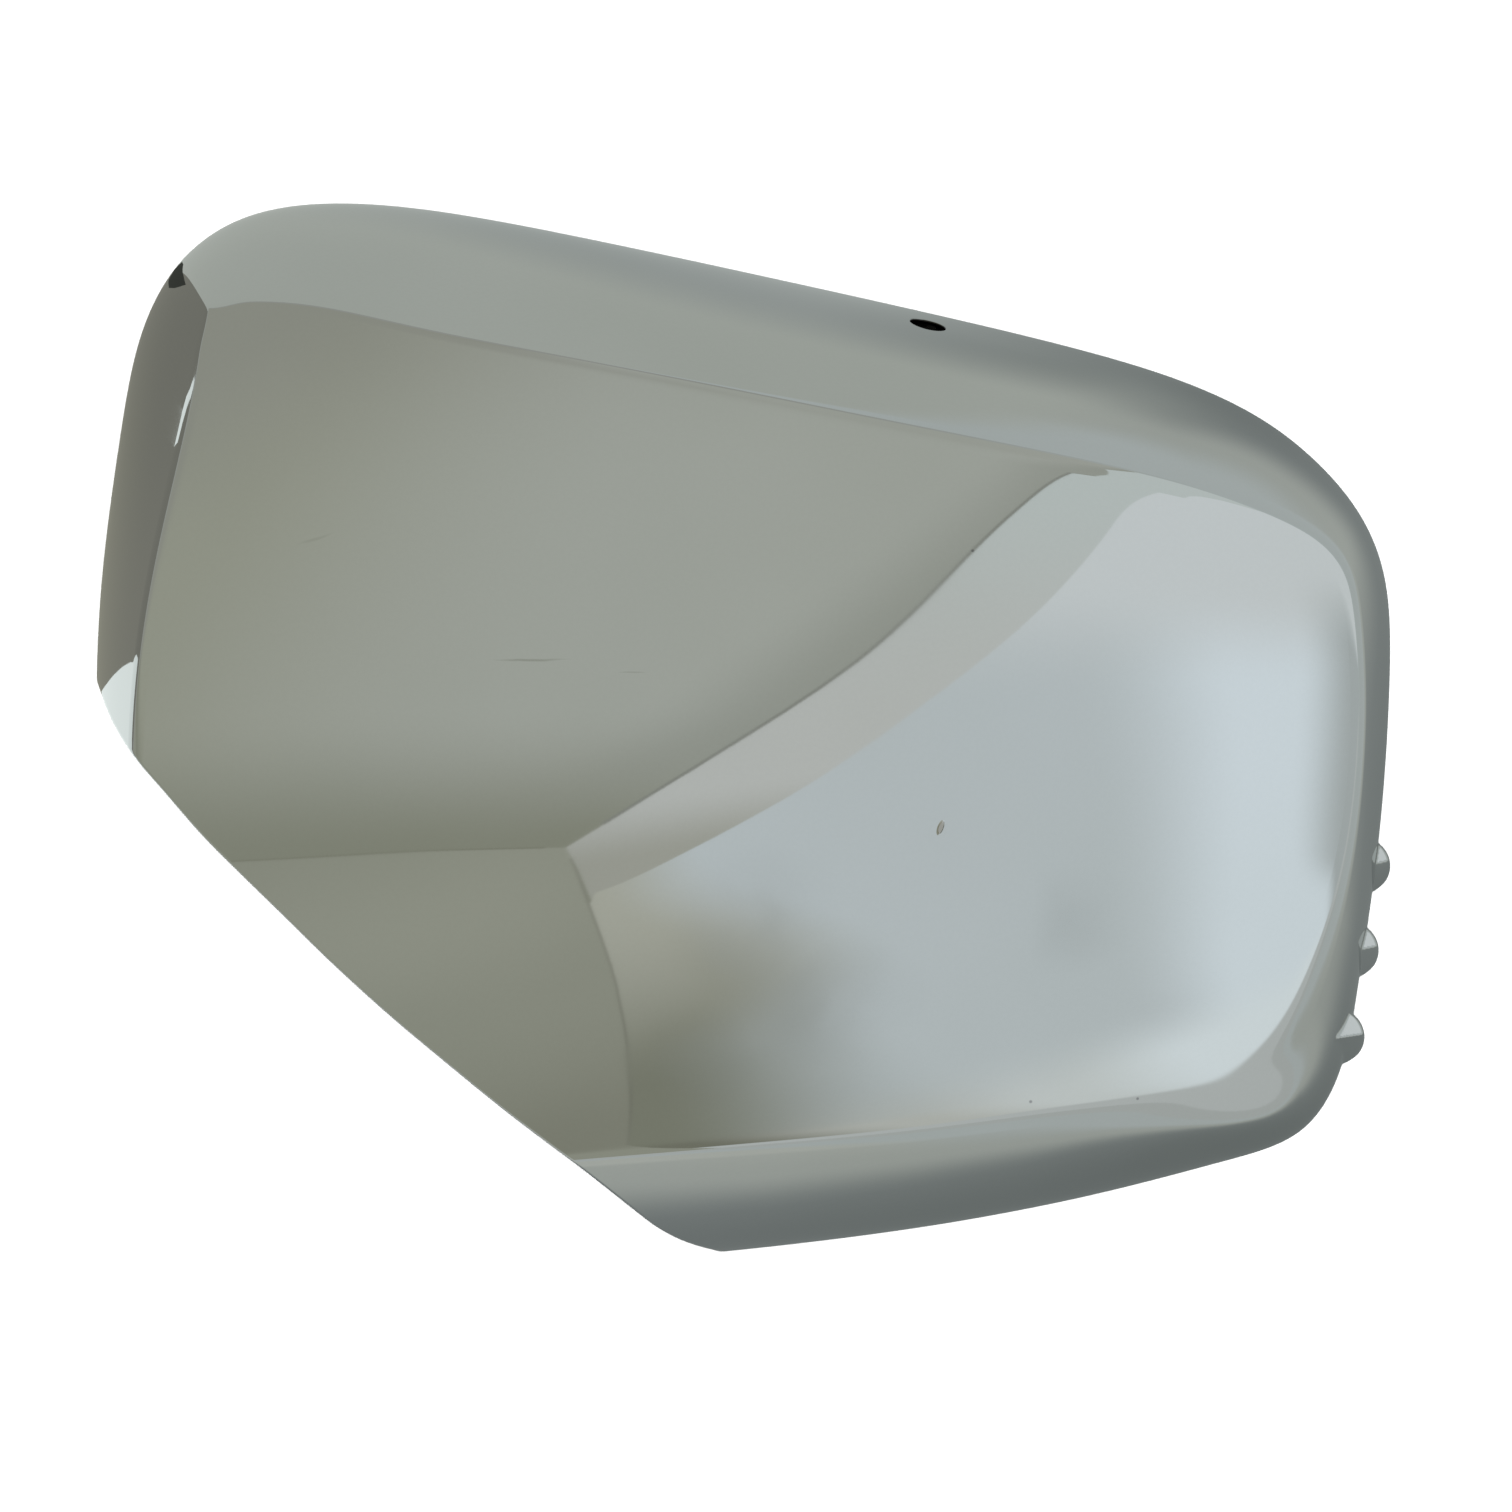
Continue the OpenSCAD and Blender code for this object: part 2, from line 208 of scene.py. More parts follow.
def skin(u, v, off=0.0):
    """Point of the skin: v 0..1 face, 1..2 rounded crease, 2..3 wall."""
    u, v = np.broadcast_arrays(np.asarray(u, float), np.asarray(v, float))
    C, P, tw, rf = rails(u, off)
    rh, R = unit(C - MID), np.linalg.norm(C - MID, axis=-1)
    q = MID + rh * (np.clip(v, 0, 1) * (R - rf))[..., None]
    flat = np.concatenate([q, face(q[..., 0], q[..., 1], off)[..., None]], -1)
    q0 = C - rh * rf[..., None]
    g = slope(q0[..., 0], q0[..., 1])
    Q0 = np.concatenate([q0, face(q0[..., 0], q0[..., 1], off)[..., None]], -1)
    T0 = unit(np.concatenate([rh, (g[0] * rh[..., 0] + g[1] * rh[..., 1])[..., None]], -1))
    L = np.linalg.norm(P - C, axis=-1)
    tf = rf * np.cos(tw) / (1.5 * L)
    Q3, T3 = wall(C, P, tw, off, tf)
    h = .42 * np.linalg.norm(Q3 - Q0, axis=-1, keepdims=True)
    Q1, Q2 = Q0 + T0 * h, Q3 - unit(T3) * h
    t = np.clip(v - 1, 0, 1)[..., None]
    bend = (1 - t) ** 3 * Q0 + 3 * (1 - t) ** 2 * t * Q1 + 3 * (1 - t) * t * t * Q2 + t ** 3 * Q3
    side = wall(C, P, tw, off, tf + (1 - tf) * np.clip(v - 2, 0, 1.2))[0]
    return np.where((v < 1)[..., None], flat, np.where((v < 2)[..., None], bend, side))


def wall_v(u, z, off=0.0):
    """v where the wall passes height z."""
    lo, hi = np.full(np.shape(u), 2.0), np.full(np.shape(u), 3.0)
    for _ in range(30):
        m = (lo + hi) / 2
        up = skin(u, m, off)[..., 2] > z
        lo, hi = np.where(up, m, lo), np.where(up, hi, m)
    return (lo + hi) / 2


# grip nubs: place round the cover, centre height of the round nose
NUBS = ((19.76, 3.0), (20.65, 2.6), (21.64, 2.2))
NUB_R, NUB_OUT = 5.1, 2.9


def soft_max(a, b, k):
    h = np.clip(.5 + .5 * (a - b) / k, 0, 1)
    return b + (a - b) * h + k * h * (1 - h)


def nubbed(p):
    """Moves the wall's points out onto the grip nubs."""
    p = p.copy()
    for un, zc in NUBS:
        c, n = line(np.array(un))[:2], rim_out(np.array(un))
        tau = np.array([-n[1], n[0]])  # towards +Y
        d = p[..., :2] - c
        a, b, z = d @ n, d @ tau, p[..., 2]
        near = (np.abs(b) < NUB_R + 2) & (z < 9.6) & (a > -9)
        s = NUB_R ** 2 - b ** 2
        body = NUB_OUT - NUB_R + np.sqrt(np.maximum(s, 0)) - .1 * np.maximum(z, 0)
        # the nose: a flat facet on the upper side of a ridge, a steeper flank below it
        top = 8.8 - z
        facet = -2.0 + (top - .30 * (b - .3)) / .62
        flank = -2.0 + (top + 1.15 * (b - .3)) / 1.1
        out = -soft_max(-body, -soft_min(facet, flank, .25), .9)
        out = np.where(s > 0, out, -30)
        new = soft_max(a, out, .5)
        move = np.where(near & (new > a), new - a, 0)
        p[..., :2] += n * move[..., None]
    return p


def soft_min(a, b, k):
    return -soft_max(-a, -b, k)


def outer(u, v):
    return nubbed(skin(u, v))


def inner(u, v):
    return skin(u, v, WALL)


def normals(f, u, v, off=0.0):
    """Outward normals of skin f, by small steps along it; the face has its own slope."""
    e = 2e-4
    du = f(u + e, v) - f(u - e, v)
    dv = f(u, np.minimum(v + e, 3.2)) - f(u, np.maximum(v - e, 0))
    n = unit(np.cross(du, dv))
    p = f(u, v)
    gx, gy = slope(p[..., 0], p[..., 1])
    flat = unit(np.stack([-gx, -gy, np.ones_like(gx)], -1))
    n = np.where((v < 1 - 1e-9)[..., None], flat, n)
    # outward: away from the middle of the dome
    away = p - np.array([0, 0, -20.0])
    return n * np.sign((n * away).sum(-1, keepdims=True))


# ---------------------------------------------------------------------------
# nets of quads in rings round the cover
# ---------------------------------------------------------------------------
class Net:
    def __init__(self):
        self.p, self.n, self.faces, self.count = [], [], [], 0

    def add(self, p, n):
        p = np.atleast_2d(p)
        n = np.atleast_2d(n)
        ids = np.arange(self.count, self.count + len(p))
        self.p.append(p)
        self.n.append(n)
        self.count += len(p)
        return ids

    def quad(self, *ids):
        f = [int(ids[0])]
        for i in ids[1:]:
            if int(i) != f[-1] and int(i) != f[0]:
                f.append(int(i))
        if len(f) > 2:
            self.faces.append(f)


def zip_loops(net, a, ua, b, ub, closed=True):
    """Faces between two lines of points sorted by ua and ub, which may differ in number."""
    a, b, ua, ub = list(a), list(b), list(ua), list(ub)
    if closed:
        period = NST if ua[-1] > 2 * math.pi + 1 or ub[-1] > 2 * math.pi + 1 else 2 * math.pi
        a.append(a[0]); ua.append(ua[0] + period)
        b.append(b[0]); ub.append(ub[0] + period)
    i = j = 0
    while i < len(a) - 1 or j < len(b) - 1:
        ni = ua[i + 1] if i < len(a) - 1 else math.inf
        nj = ub[j + 1] if j < len(b) - 1 else math.inf
        if abs(ni - nj) < 1e-7:
            net.quad(a[i], a[i + 1], b[j + 1], b[j])
            i += 1; j += 1
        elif ni < nj:
            net.quad(a[i], a[i + 1], b[j])
            i += 1
        else:
            net.quad(a[i], b[j + 1], b[j])
            j += 1


def steps(lo, hi, n, last=True):
    return np.linspace(lo, hi, n + 1)[:n + (1 if last else 0)]


HOLE_X, HOLE_Z, HOLE_R = 33.2, 18.9, 3.2


def hole_place():
    lo, hi = 8.0, 14.0
    for _ in range(40):
        m = (lo + hi) / 2
        x = skin(m, wall_v(np.array(m), HOLE_Z))[0]
        lo, hi = (m, hi) if x < HOLE_X else (lo, m)
    u = np.array((lo + hi) / 2)
    v = wall_v(u, HOLE_Z)
    c = skin(u, v)
    e = 1e-3
    d = unit(skin(u, v + e) - skin(u, v - e))  # down the wall
    nh = rim_out(u)
    side = np.array([-nh[1], nh[0], 0.0])
    axis = unit(np.cross(side, d))
    axis *= np.sign(axis[:2] @ nh)
    return u, v, c, axis, side


HU, HV, HC, HAX, HE1 = hole_place()
HE2 = np.cross(HAX, HE1)


def hole_plane(p):
    d = p - HC
    return d @ HE1, d @ HE2


def on_skin(f, a, b, off):
    """Point, u and v of skin f over the point (a, b) of the hole's plane."""
    u = np.full(np.shape(a), float(HU))
    v = np.full(np.shape(a), float(HV))
    e = 1e-4
    for _ in range(14):
        p = f(u, v)
        pa, pb = hole_plane(p)
        ua, ub = hole_plane(f(u + e, v))
        va, vb = hole_plane(f(u, v + e))
        j11, j12, j21, j22 = (ua - pa) / e, (va - pa) / e, (ub - pb) / e, (vb - pb) / e
        det = j11 * j22 - j12 * j21
        ra, rb = a - pa, b - pb
        u = u + (j22 * ra - j12 * rb) / det
        v = v + (-j21 * ra + j11 * rb) / det
    return f(u, v), u, v


RING = 48


def punch(net, f, off, cols, rows, ids, reach, sgn):
    """Cuts a block out of a band of rings and fills it with loops round the hole.
    Returns the cells taken out and the ids of the loop on the hole's edge."""
    pa, pb = hole_plane(np.stack([f(cols, r) for r in rows]))
    inside = (np.abs(pa) < reach) & (np.abs(pb) < reach)
    js = np.where(inside.any(0))[0]
    iz = np.where(inside.any(1))[0]
    j0, j1, i0, i1 = js[0] - 1, js[-1] + 1, iz[0] - 1, iz[-1] + 1
    block = {(i, j) for i in range(i0, i1) for j in range(j0, j1)}
    path = [(i0, j) for j in range(j0, j1)] + [(i, j1) for i in range(i0, i1)] + \
        [(i1, j) for j in range(j1, j0, -1)] + [(i, j0) for i in range(i1, i0, -1)]
    edge = [ids[i][j] for i, j in path]
    ang = np.array([math.atan2(pb[i, j], pa[i, j]) % (2 * math.pi) for i, j in path])
    order = np.argsort(ang)
    edge, ang = [edge[k] for k in order], ang[order]
    phi = np.arange(RING) * 2 * math.pi / RING
    loops = []
    for rho in (HOLE_R + 1.5, HOLE_R + 1.0, HOLE_R + .65, HOLE_R + .42):
        p, u, v = on_skin(f, rho * np.cos(phi), rho * np.sin(phi), off)
        n = normals(f, u, v)
        loops.append(net.add(p, n * sgn))
    zip_loops(net, edge, ang, loops[0], phi)
    for a, b in zip(loops, loops[1:]):
        for k in range(RING):
            m = (k + 1) % RING
            net.quad(a[k], a[m], b[m], b[k])
    return block, loops[-1]


def build_skin(net, f, off, face_rows, bend_rows, high_rows, low_rows, base_cols, fine, sgn, z_split, z_end):
    """One side of the shell, as rings from the middle of the face to the rim."""
    cols = np.arange(base_cols) * NST / base_cols
    low_cols = cols
    if fine:
        lo, hi, step = fine
        low_cols = np.concatenate([cols[cols < lo], np.arange(lo, hi, step), cols[cols >= hi]])
    # middle of the face: fewer columns
    p0 = f(np.array([0.0]), np.array([0.0]))
    centre = net.add(p0, normals(f, np.array([0.0]), np.array([0.0])) * sgn)
    prev, prev_u = None, None
    face_v = [i / face_rows for i in range(1, face_rows)]
    for v in face_v:
        div = 8 if v < .1 else 4 if v < .26 else 2 if v < .52 else 1
        cu = cols[::div]
        vv = np.full(len(cu), v)
        ids = net.add(f(cu, vv), normals(f, cu, vv) * sgn)
        if prev is None:
            for k in range(len(ids)):
                net.quad(centre[0], ids[k], ids[(k + 1) % len(ids)])
        else:
            zip_loops(net, prev, prev_u, ids, cu)
        prev, prev_u = ids, cu
    for i in range(bend_rows):
        vv = np.full(len(cols), 1 + i / bend_rows)
        ids = net.add(f(cols, vv), normals(f, cols, vv) * sgn)
        zip_loops(net, prev, prev_u, ids, cols)
        prev, prev_u = ids, cols
    # upper part of the wall, with the hole
    split = wall_v(cols, z_split, off)
    rows = [2 + (split - 2) * i / high_rows for i in range(high_rows + 1)]
    idr = [net.add(f(cols, r), normals(f, cols, r) * sgn) for r in rows]
    zip_loops(net, prev, prev_u, idr[0], cols)
    block, edge = punch(net, f, off, cols, rows, idr, HOLE_R + 1.7, sgn)
    for i in range(high_rows):
        a, b = idr[i], idr[i + 1]
        for j in range(len(cols)):
            if (i, j) not in block:
                k = (j + 1) % len(cols)
                net.quad(a[j], a[k], b[k], b[j])
    prev, prev_u = idr[-1], cols
    # lower part of the wall, with the nubs
    for i in range(1, low_rows + 1):
        z = z_split + (z_end - z_split) * i / low_rows
        vv = wall_v(low_cols, z, off)
        ids = net.add(f(low_cols, vv), normals(f, low_cols, vv) * sgn)
        zip_loops(net, prev, prev_u, ids, low_cols)
        prev, prev_u = ids, low_cols
    return edge


net = Net()
EDGE = .4  # softened edge of rim and cut
edge_out = build_skin(net, outer, 0.0, 38, 9, 18, 32, 408, (19.4, 22.2, 1 / 56), 1, 10.2, EDGE)
split_at = len(net.faces)
edge_in = build_skin(net, inner, WALL, 18, 5, 14, 5, 272, None, -1, 10.2, EDGE)
inner_end = len(net.faces)

# bore of the screw hole, with both edges softened
phi = np.arange(RING) * 2 * math.pi / RING


def axial(f):
    p, u, v = on_skin(f, HOLE_R * np.cos(phi), HOLE_R * np.sin(phi), 0)
    return (p - HC) @ HAX, normals(f, u, v)


top_h, top_n = axial(outer)
bot_h, bot_n = axial(inner)
radial = np.cos(phi)[:, None] * HE1 + np.sin(phi)[:, None] * HE2


def bore_loop(rho, h, n):
    return net.add(HC + radial * rho + HAX * h[:, None], unit(n))


bore = [edge_out]
for k, (dr, dh) in enumerate(((.22, .03), (.07, .14), (0.0, .36))):
    w = (k + 1) / 3
    bore.append(bore_loop(HOLE_R + dr, top_h - dh, top_n * (1 - w) - radial * w))
for s in (.35, .65):
    bore.append(bore_loop(HOLE_R, (top_h - .36) * (1 - s) + (bot_h + .36) * s, -radial))
for k, (dr, dh) in enumerate(((0.0, .36), (.07, .14), (.22, .03))):
    w = k / 3
    bore.append(bore_loop(HOLE_R + dr, bot_h + dh, -radial * (1 - w) - bot_n * w))
bore.append(edge_in)
for a, b in zip(bore, bore[1:]):
    for k in range(RING):
        m = (k + 1) % RING
        net.quad(a[k], a[m], b[m], b[k])

P = np.concatenate(net.p)
Nn = np.concatenate(net.n)

# points that nearly meet the diagonal edge are moved onto it, along the skin
on_rim = np.abs(P[:, 2] - EDGE) < .01
flat_n = unit(Nn * np.array([1, 1, 0]))
inside = cut_field(P)[0] - EDGE
for k in range(3):
    sel = np.where(np.abs(inside) < 1.0)[0]
    d, cn = cut_field(P[sel])
    off_edge = d - EDGE
    rim_sel = on_rim[sel]
    nn = np.where(rim_sel[:, None], flat_n[sel], Nn[sel])
    cc = np.where(rim_sel[:, None], unit(cn * np.array([1, 1, 0])), cn)
    tang = cc - (nn * cc).sum(-1)[:, None] * nn
    along = np.maximum((tang * cn).sum(-1), .01)
    if k == 0:
        near = np.zeros(len(P), bool)
        near[sel] = np.abs(off_edge) / np.sqrt(along) < .35
    move = near[sel]
    P[sel[move]] -= (tang * (off_edge / along)[:, None])[move]
    inside = cut_field(P)[0] - EDGE
inside[near] = 0.0

bm = bmesh.new()
lay = bm.verts.layers.float_vector.new("nrm")
verts = []
for p, n in zip(P, Nn):
    v = bm.verts.new(p)
    v[lay] = n
    verts.append(v)
for k, f in enumerate(net.faces):
    bf = bm.faces.new([verts[i] for i in f])
    bf.smooth = True
    bf.material_index = 1 if split_at <= k < inner_end else 0

# everything beyond the diagonal edge comes off
bm.verts.index_update()
level = {v: float(x) for v, x in zip(verts, inside)}
cross = [e for e in bm.edges if level[e.verts[0]] * level[e.verts[1]] < 0]
pa = np.array([e.verts[0].co[:] for e in cross])
pb = np.array([e.verts[1].co[:] for e in cross])
la = np.array([level[e.verts[0]] for e in cross])
lb = np.array([level[e.verts[1]] for e in cross])
ta, tb = np.zeros(len(cross)), np.ones(len(cross))
for _ in range(5):
    t = ta + (tb - ta) * la / (la - lb)
    lt = cut_field(pa + (pb - pa) * t[:, None])[0] - EDGE
    same = lt * la > 0
    ta, la = np.where(same, t, ta), np.where(same, lt, la)
    tb, lb = np.where(same, tb, t), np.where(same, lb, lt)
    if np.abs(lt).max() < 1e-7:
        break
for e, f in zip(cross, t):
    va, vb = e.verts
    na, nb, at = va[lay].copy(), vb[lay].copy(), va.co.lerp(vb.co, float(f))
    v = bmesh.utils.edge_split(e, va, float(f))[1]
    v.co = at
    v[lay] = na.lerp(nb, float(f)).normalized()
    level[v] = 0.0
mixed = [f for f in bm.faces if min(level[v] for v in f.verts) < 0 < max(level[v] for v in f.verts)]
while mixed:
    f = mixed.pop()
    vs = list(f.verts)
    n = len(vs)
    start = next(i for i in range(n) if level[vs[i]] > 0 and level[vs[i - 1]] <= 0)
    end = start
    while level[vs[end % n]] > 0:
        end += 1
    new = bmesh.utils.face_split(f, vs[start - 1], vs[end % n])[0]
    mixed += [x for x in (f, new) if min(level[v] for v in x.verts) < 0 < max(level[v] for v in x.verts)]
bmesh.ops.delete(bm, geom=[v for v in bm.verts if level[v] < 0], context="VERTS")
bmesh.ops.delete(bm, geom=[e for e in bm.edges if not e.link_faces], context="EDGES")
bmesh.ops.delete(bm, geom=[v for v in bm.verts if not v.link_faces], context="VERTS")
kind = bm.faces.layers.int.new("kind")


def boundary_loops():
    left = {e for e in bm.edges if len(e.link_faces) == 1}
    loops = []
    while left:
        e = left.pop()
        path = [e.verts[0], e.verts[1]]
        while True:
            nxt = [x for x in path[-1].link_edges if x in left]
            if not nxt:
                break
            left.discard(nxt[0])
            path.append(nxt[0].other_vert(path[-1]))
        if path[0] is path[-1]:
            path.pop()
        loops.append(path)
    return loops


loops = boundary_loops()
loops.sort(key=len, reverse=True)
print("boundary loops", [len(x) for x in loops])


def is_in(path):
    e = [x for x in path[0].link_edges if len(x.link_faces) == 1][0]
    return e.link_faces[0].material_index == 1


def finish_edge(path):
    """Adds the softened edge along one boundary; returns the last loop's verts, split in a rim part and a cut part."""
    c = np.array([v.co[:] for v in path])
    n = unit(np.array([v[lay][:] for v in path]))
    deep, cn = cut_field(c)
    on_cut = np.abs(deep - EDGE) < .01
    on_rim = np.abs(c[:, 2] - EDGE) < .01
    m = np.where((on_cut & ~on_rim)[:, None], -cn, np.array([0, 0, -1.0]))
    tau = unit(np.roll(c, -1, 0) - np.roll(c, 1, 0))
    corner = on_cut & on_rim
    end_c = np.zeros_like(c)
    end_e = np.zeros_like(c)
    for k in range(len(path)):
        plane_m = m[k]
        if corner[k]:
            A = np.array([n[k], [0, 0, -1.0], -cn[k]])
            end_c[k] = c[k] + np.linalg.solve(A, [0, c[k][2], deep[k]])
            w = unit(np.cross([0, 0, -1.0], -cn[k]))
        else:
            A = np.array([n[k], plane_m, tau[k]])
            end_c[k] = c[k] + np.linalg.solve(A, [0, c[k][2] if on_rim[k] else deep[k], 0])
            w = unit(-n[k] + (n[k] @ plane_m) * plane_m)
        if w @ -n[k] < 0:
            w = -w
        end_e[k] = end_c[k] + w * EDGE
    rings = [path]
    for s in (1, 2, 3):
        t = s / 3
        q = (1 - t) ** 2 * c + 2 * (1 - t) * t * end_c + t * t * end_e
        nn = unit(n * (1 - t) + m * t)
        ring = []
        for k in range(len(path)):
            v = bm.verts.new(q[k])
            v[lay] = nn[k]
            ring.append(v)
        rings.append(ring)
    mat = 1 if is_in(path) else 0
    for a, b in zip(rings, rings[1:]):
        for k in range(len(path)):
            j = (k + 1) % len(path)
            f = bm.faces.new((a[k], a[j], b[j], b[k]))
            f.smooth = True
            f.material_index = mat
    last = rings[-1]
    corners = [k for k in range(len(path)) if corner[k]]
    print("corners", len(corners), "of", len(path), [tuple(round(x, 1) for x in c[k]) for k in corners])
    a, b = corners
    one = last[a:b + 1]
    two = last[b:] + last[:a + 1]
    rim, cut = (one, two) if np.mean([v.co.z for v in one]) < np.mean([v.co.z for v in two]) else (two, one)
    # both run from the upper inboard corner
    if rim[0].co.y < rim[-1].co.y:
        rim = rim[::-1]
    if cut[0].co.y < cut[-1].co.y:
        cut = cut[::-1]
    return rim, cut


def stitch(a, b, what):
    """Faces between two lines that share both ends, always across the shorter way."""
    i = j = 0
    while i < len(a) - 1 or j < len(b) - 1:
        ga = (a[i + 1].co - b[j].co).length if i < len(a) - 1 else math.inf
        gb = (b[j + 1].co - a[i].co).length if j < len(b) - 1 else math.inf
        if i == 0 and j > 0:  # no fans from a shared end along the line itself
            ga = -1
        elif i == len(a) - 2 and j < len(b) - 2:
            gb = -1
        if ga <= gb:
            tri = (a[i], a[i + 1], b[j])
            i += 1
        else:
            tri = (a[i], b[j + 1], b[j])
            j += 1
        if len(set(tri)) == 3:
            f = bm.faces.new(tri)
            f.smooth = True
            f.material_index = 0
            f[kind] = what


foot = DRAFT + (CUT - DRAFT) * DRAFT_H / (DRAFT_H - 20)  # the diagonal edge's line in the rim plane


def foot_line(a, b):
    """Points on the foot line between two corners, in the order from a to b."""
    ia, ib = (int(np.linalg.norm(foot - np.array(v.co[:2]), axis=1).argmin()) for v in (a, b))
    step = 6 if ib > ia else -6
    return [bm.verts.new((*foot[i], 0)) for i in range(ia + step, ib - step // 2, step)]


out_loop = [x for x in loops[:2] if not is_in(x)][0]
in_loop = [x for x in loops[:2] if is_in(x)][0]
ro, co = finish_edge(out_loop)
ri, ci = finish_edge(in_loop)
left = [ro[0]] + foot_line(ro[0], ri[0])
right = foot_line(ri[-1], ro[-1]) + [ro[-1]]
stitch(ro, left + ri + right, 1)
stitch(co, left + ci + right, 2)
bmesh.ops.recalc_face_normals(bm, faces=bm.faces[:])
open_edges = sum(len(e.link_faces) != 2 for e in bm.edges)
print("shell faces", len(bm.faces), "open edges", open_edges)


# ---------------------------------------------------------------------------
# fixings inside: pegs on bosses, and snap beads behind the rim
# ---------------------------------------------------------------------------
def lathe(x, y, profile, cap_z, seg=40):
    """Closed turned body on a vertical axis; cap_z gives the height of its rooted end."""
    rings = []
    for r, z in profile:
        rings.append([bm.verts.new((x + r * math.cos(a), y + r * math.sin(a), z))
                      for a in (2 * math.pi * k / seg for k in range(seg))])
    r = profile[0][0]
    top = [bm.verts.new((v.co.x, v.co.y, cap_z(v.co.x, v.co.y))) for v in rings[0]]
    rings.insert(0, top)
    made = []
    for a, b in zip(rings, rings[1:]):
        for k in range(seg):
            made.append(bm.faces.new((a[k], a[(k + 1) % seg], b[(k + 1) % seg], b[k])))
    tip = bm.verts.new((x, y, profile[-1][1]))
    root = bm.verts.new((x, y, cap_z(x, y)))
    for k in range(seg):
        made.append(bm.faces.new((rings[-1][k], rings[-1][(k + 1) % seg], tip)))
        made.append(bm.faces.new((top[(k + 1) % seg], top[k], root)))
    for f in made:
        f.smooth = True
        f.material_index = 1
    bmesh.ops.recalc_face_normals(bm, faces=made)


def peg(x, y):
    gx, gy = slope(x, y)
    zb = face(x, y, WALL) - 4.5 * math.hypot(gx, gy) - 1.5
    zt = zb - 9
    prof = [(4.5, zb + .6), (4.47, zb + .42), (4.35, zb + .2), (4.15, zb + .05), (3.9, zb), (3.2, zb),
            (2.9, zb - .04), (2.68, zb - .15), (2.54, zb - .35), (2.5, zb - .6), (2.5, zt + 1.1),
            (2.45, zt + .8), (2.3, zt + .45), (2.05, zt + .15), (1.8, zt), (1.0, zt)]
    lathe(x, y, prof, lambda px, py: float(face(np.array(px), np.array(py), 1.3)))


def bead(u, z=6.0):
    """Snap bead: a low ramped ridge that follows the inside of the wall."""
    L = 12.0
    speed = float(np.linalg.norm(line_dir(np.array(u))[:2]))
    section = ((1.0, -3.2), (.1, -3.2), (-.35, -2.95), (-1.25, -2.15), (-1.55, -1.8), (-1.6, -1.5),
               (-1.5, -1.1), (-1.2, -.4), (-.5, 1.5), (-.12, 2.7), (.1, 3.0), (1.0, 3.0))
    rings = []
    count = 15
    for k in range(count):
        s = k / (count - 1) * 2 - 1
        uu = np.array(u + s * L / 2 / speed)
        size = max(0.12, min(1.0, (1 - abs(s)) / .16)) ** .5
        n = rim_out(uu)
        ring = []
        for o, dz in section:
            zz = z + dz
            base = skin(uu, wall_v(uu, zz, WALL), WALL)
            oo = o if o > 0 else o * size + .12 * (1 - size)
            ring.append(bm.verts.new((base[0] + n[0] * oo, base[1] + n[1] * oo, zz)))
        rings.append(ring)
    made = []
    w = len(section)
    for a, b in zip(rings, rings[1:]):
        for k in range(w):
            made.append(bm.faces.new((a[k], a[(k + 1) % w], b[(k + 1) % w], b[k])))
    made.append(bm.faces.new(rings[0]))
    made.append(bm.faces.new(rings[-1]))
    for f in made:
        f.smooth = True
        f.material_index = 1
    bmesh.ops.recalc_face_normals(bm, faces=made)


for x, y in ((-62, 48), (70, 22), (30, -52)):
    peg(x, y)
for u in (3, 7.5, 10.5, 13, 18, 25, 27):
    bead(u)

raw = np.array([v.co[:] for v in bm.verts])
shift = Vector(BASE)
for v in bm.verts:
    v.co = (v.co + shift) * MM
bm.verts.index_update()
custom = np.array([v[lay][:] for v in bm.verts])
length = np.linalg.norm(custom, axis=1, keepdims=True)
custom = np.where(length > .1, custom / np.maximum(length, .1), 0.0)
faces = [(f[kind], [v.index for v in f.verts]) for f in bm.faces]
cut_verts = sorted({i for k, f in faces if k == 2 for i in f})
cut_nrm = dict(zip(cut_verts, -cut_field(raw[cut_verts])[1]))
corner_nrm = []
for k, f in faces:
    corner_nrm += [(0, 0, -1)] * len(f) if k == 1 else [tuple(cut_nrm[i]) for i in f] if k == 2 else [tuple(custom[i]) for i in f]
mesh = bpy.data.meshes.new("mirror_cover_shell")
bm.to_mesh(mesh)
bm.free()
for name in ("nrm", "kind"):
    attr = mesh.attributes.get(name)
    if attr:
        mesh.attributes.remove(attr)
mesh.normals_split_custom_set(corner_nrm)
shell = bpy.data.objects.new("mirror_cover_shell", mesh)
bpy.context.scene.collection.objects.link(shell)


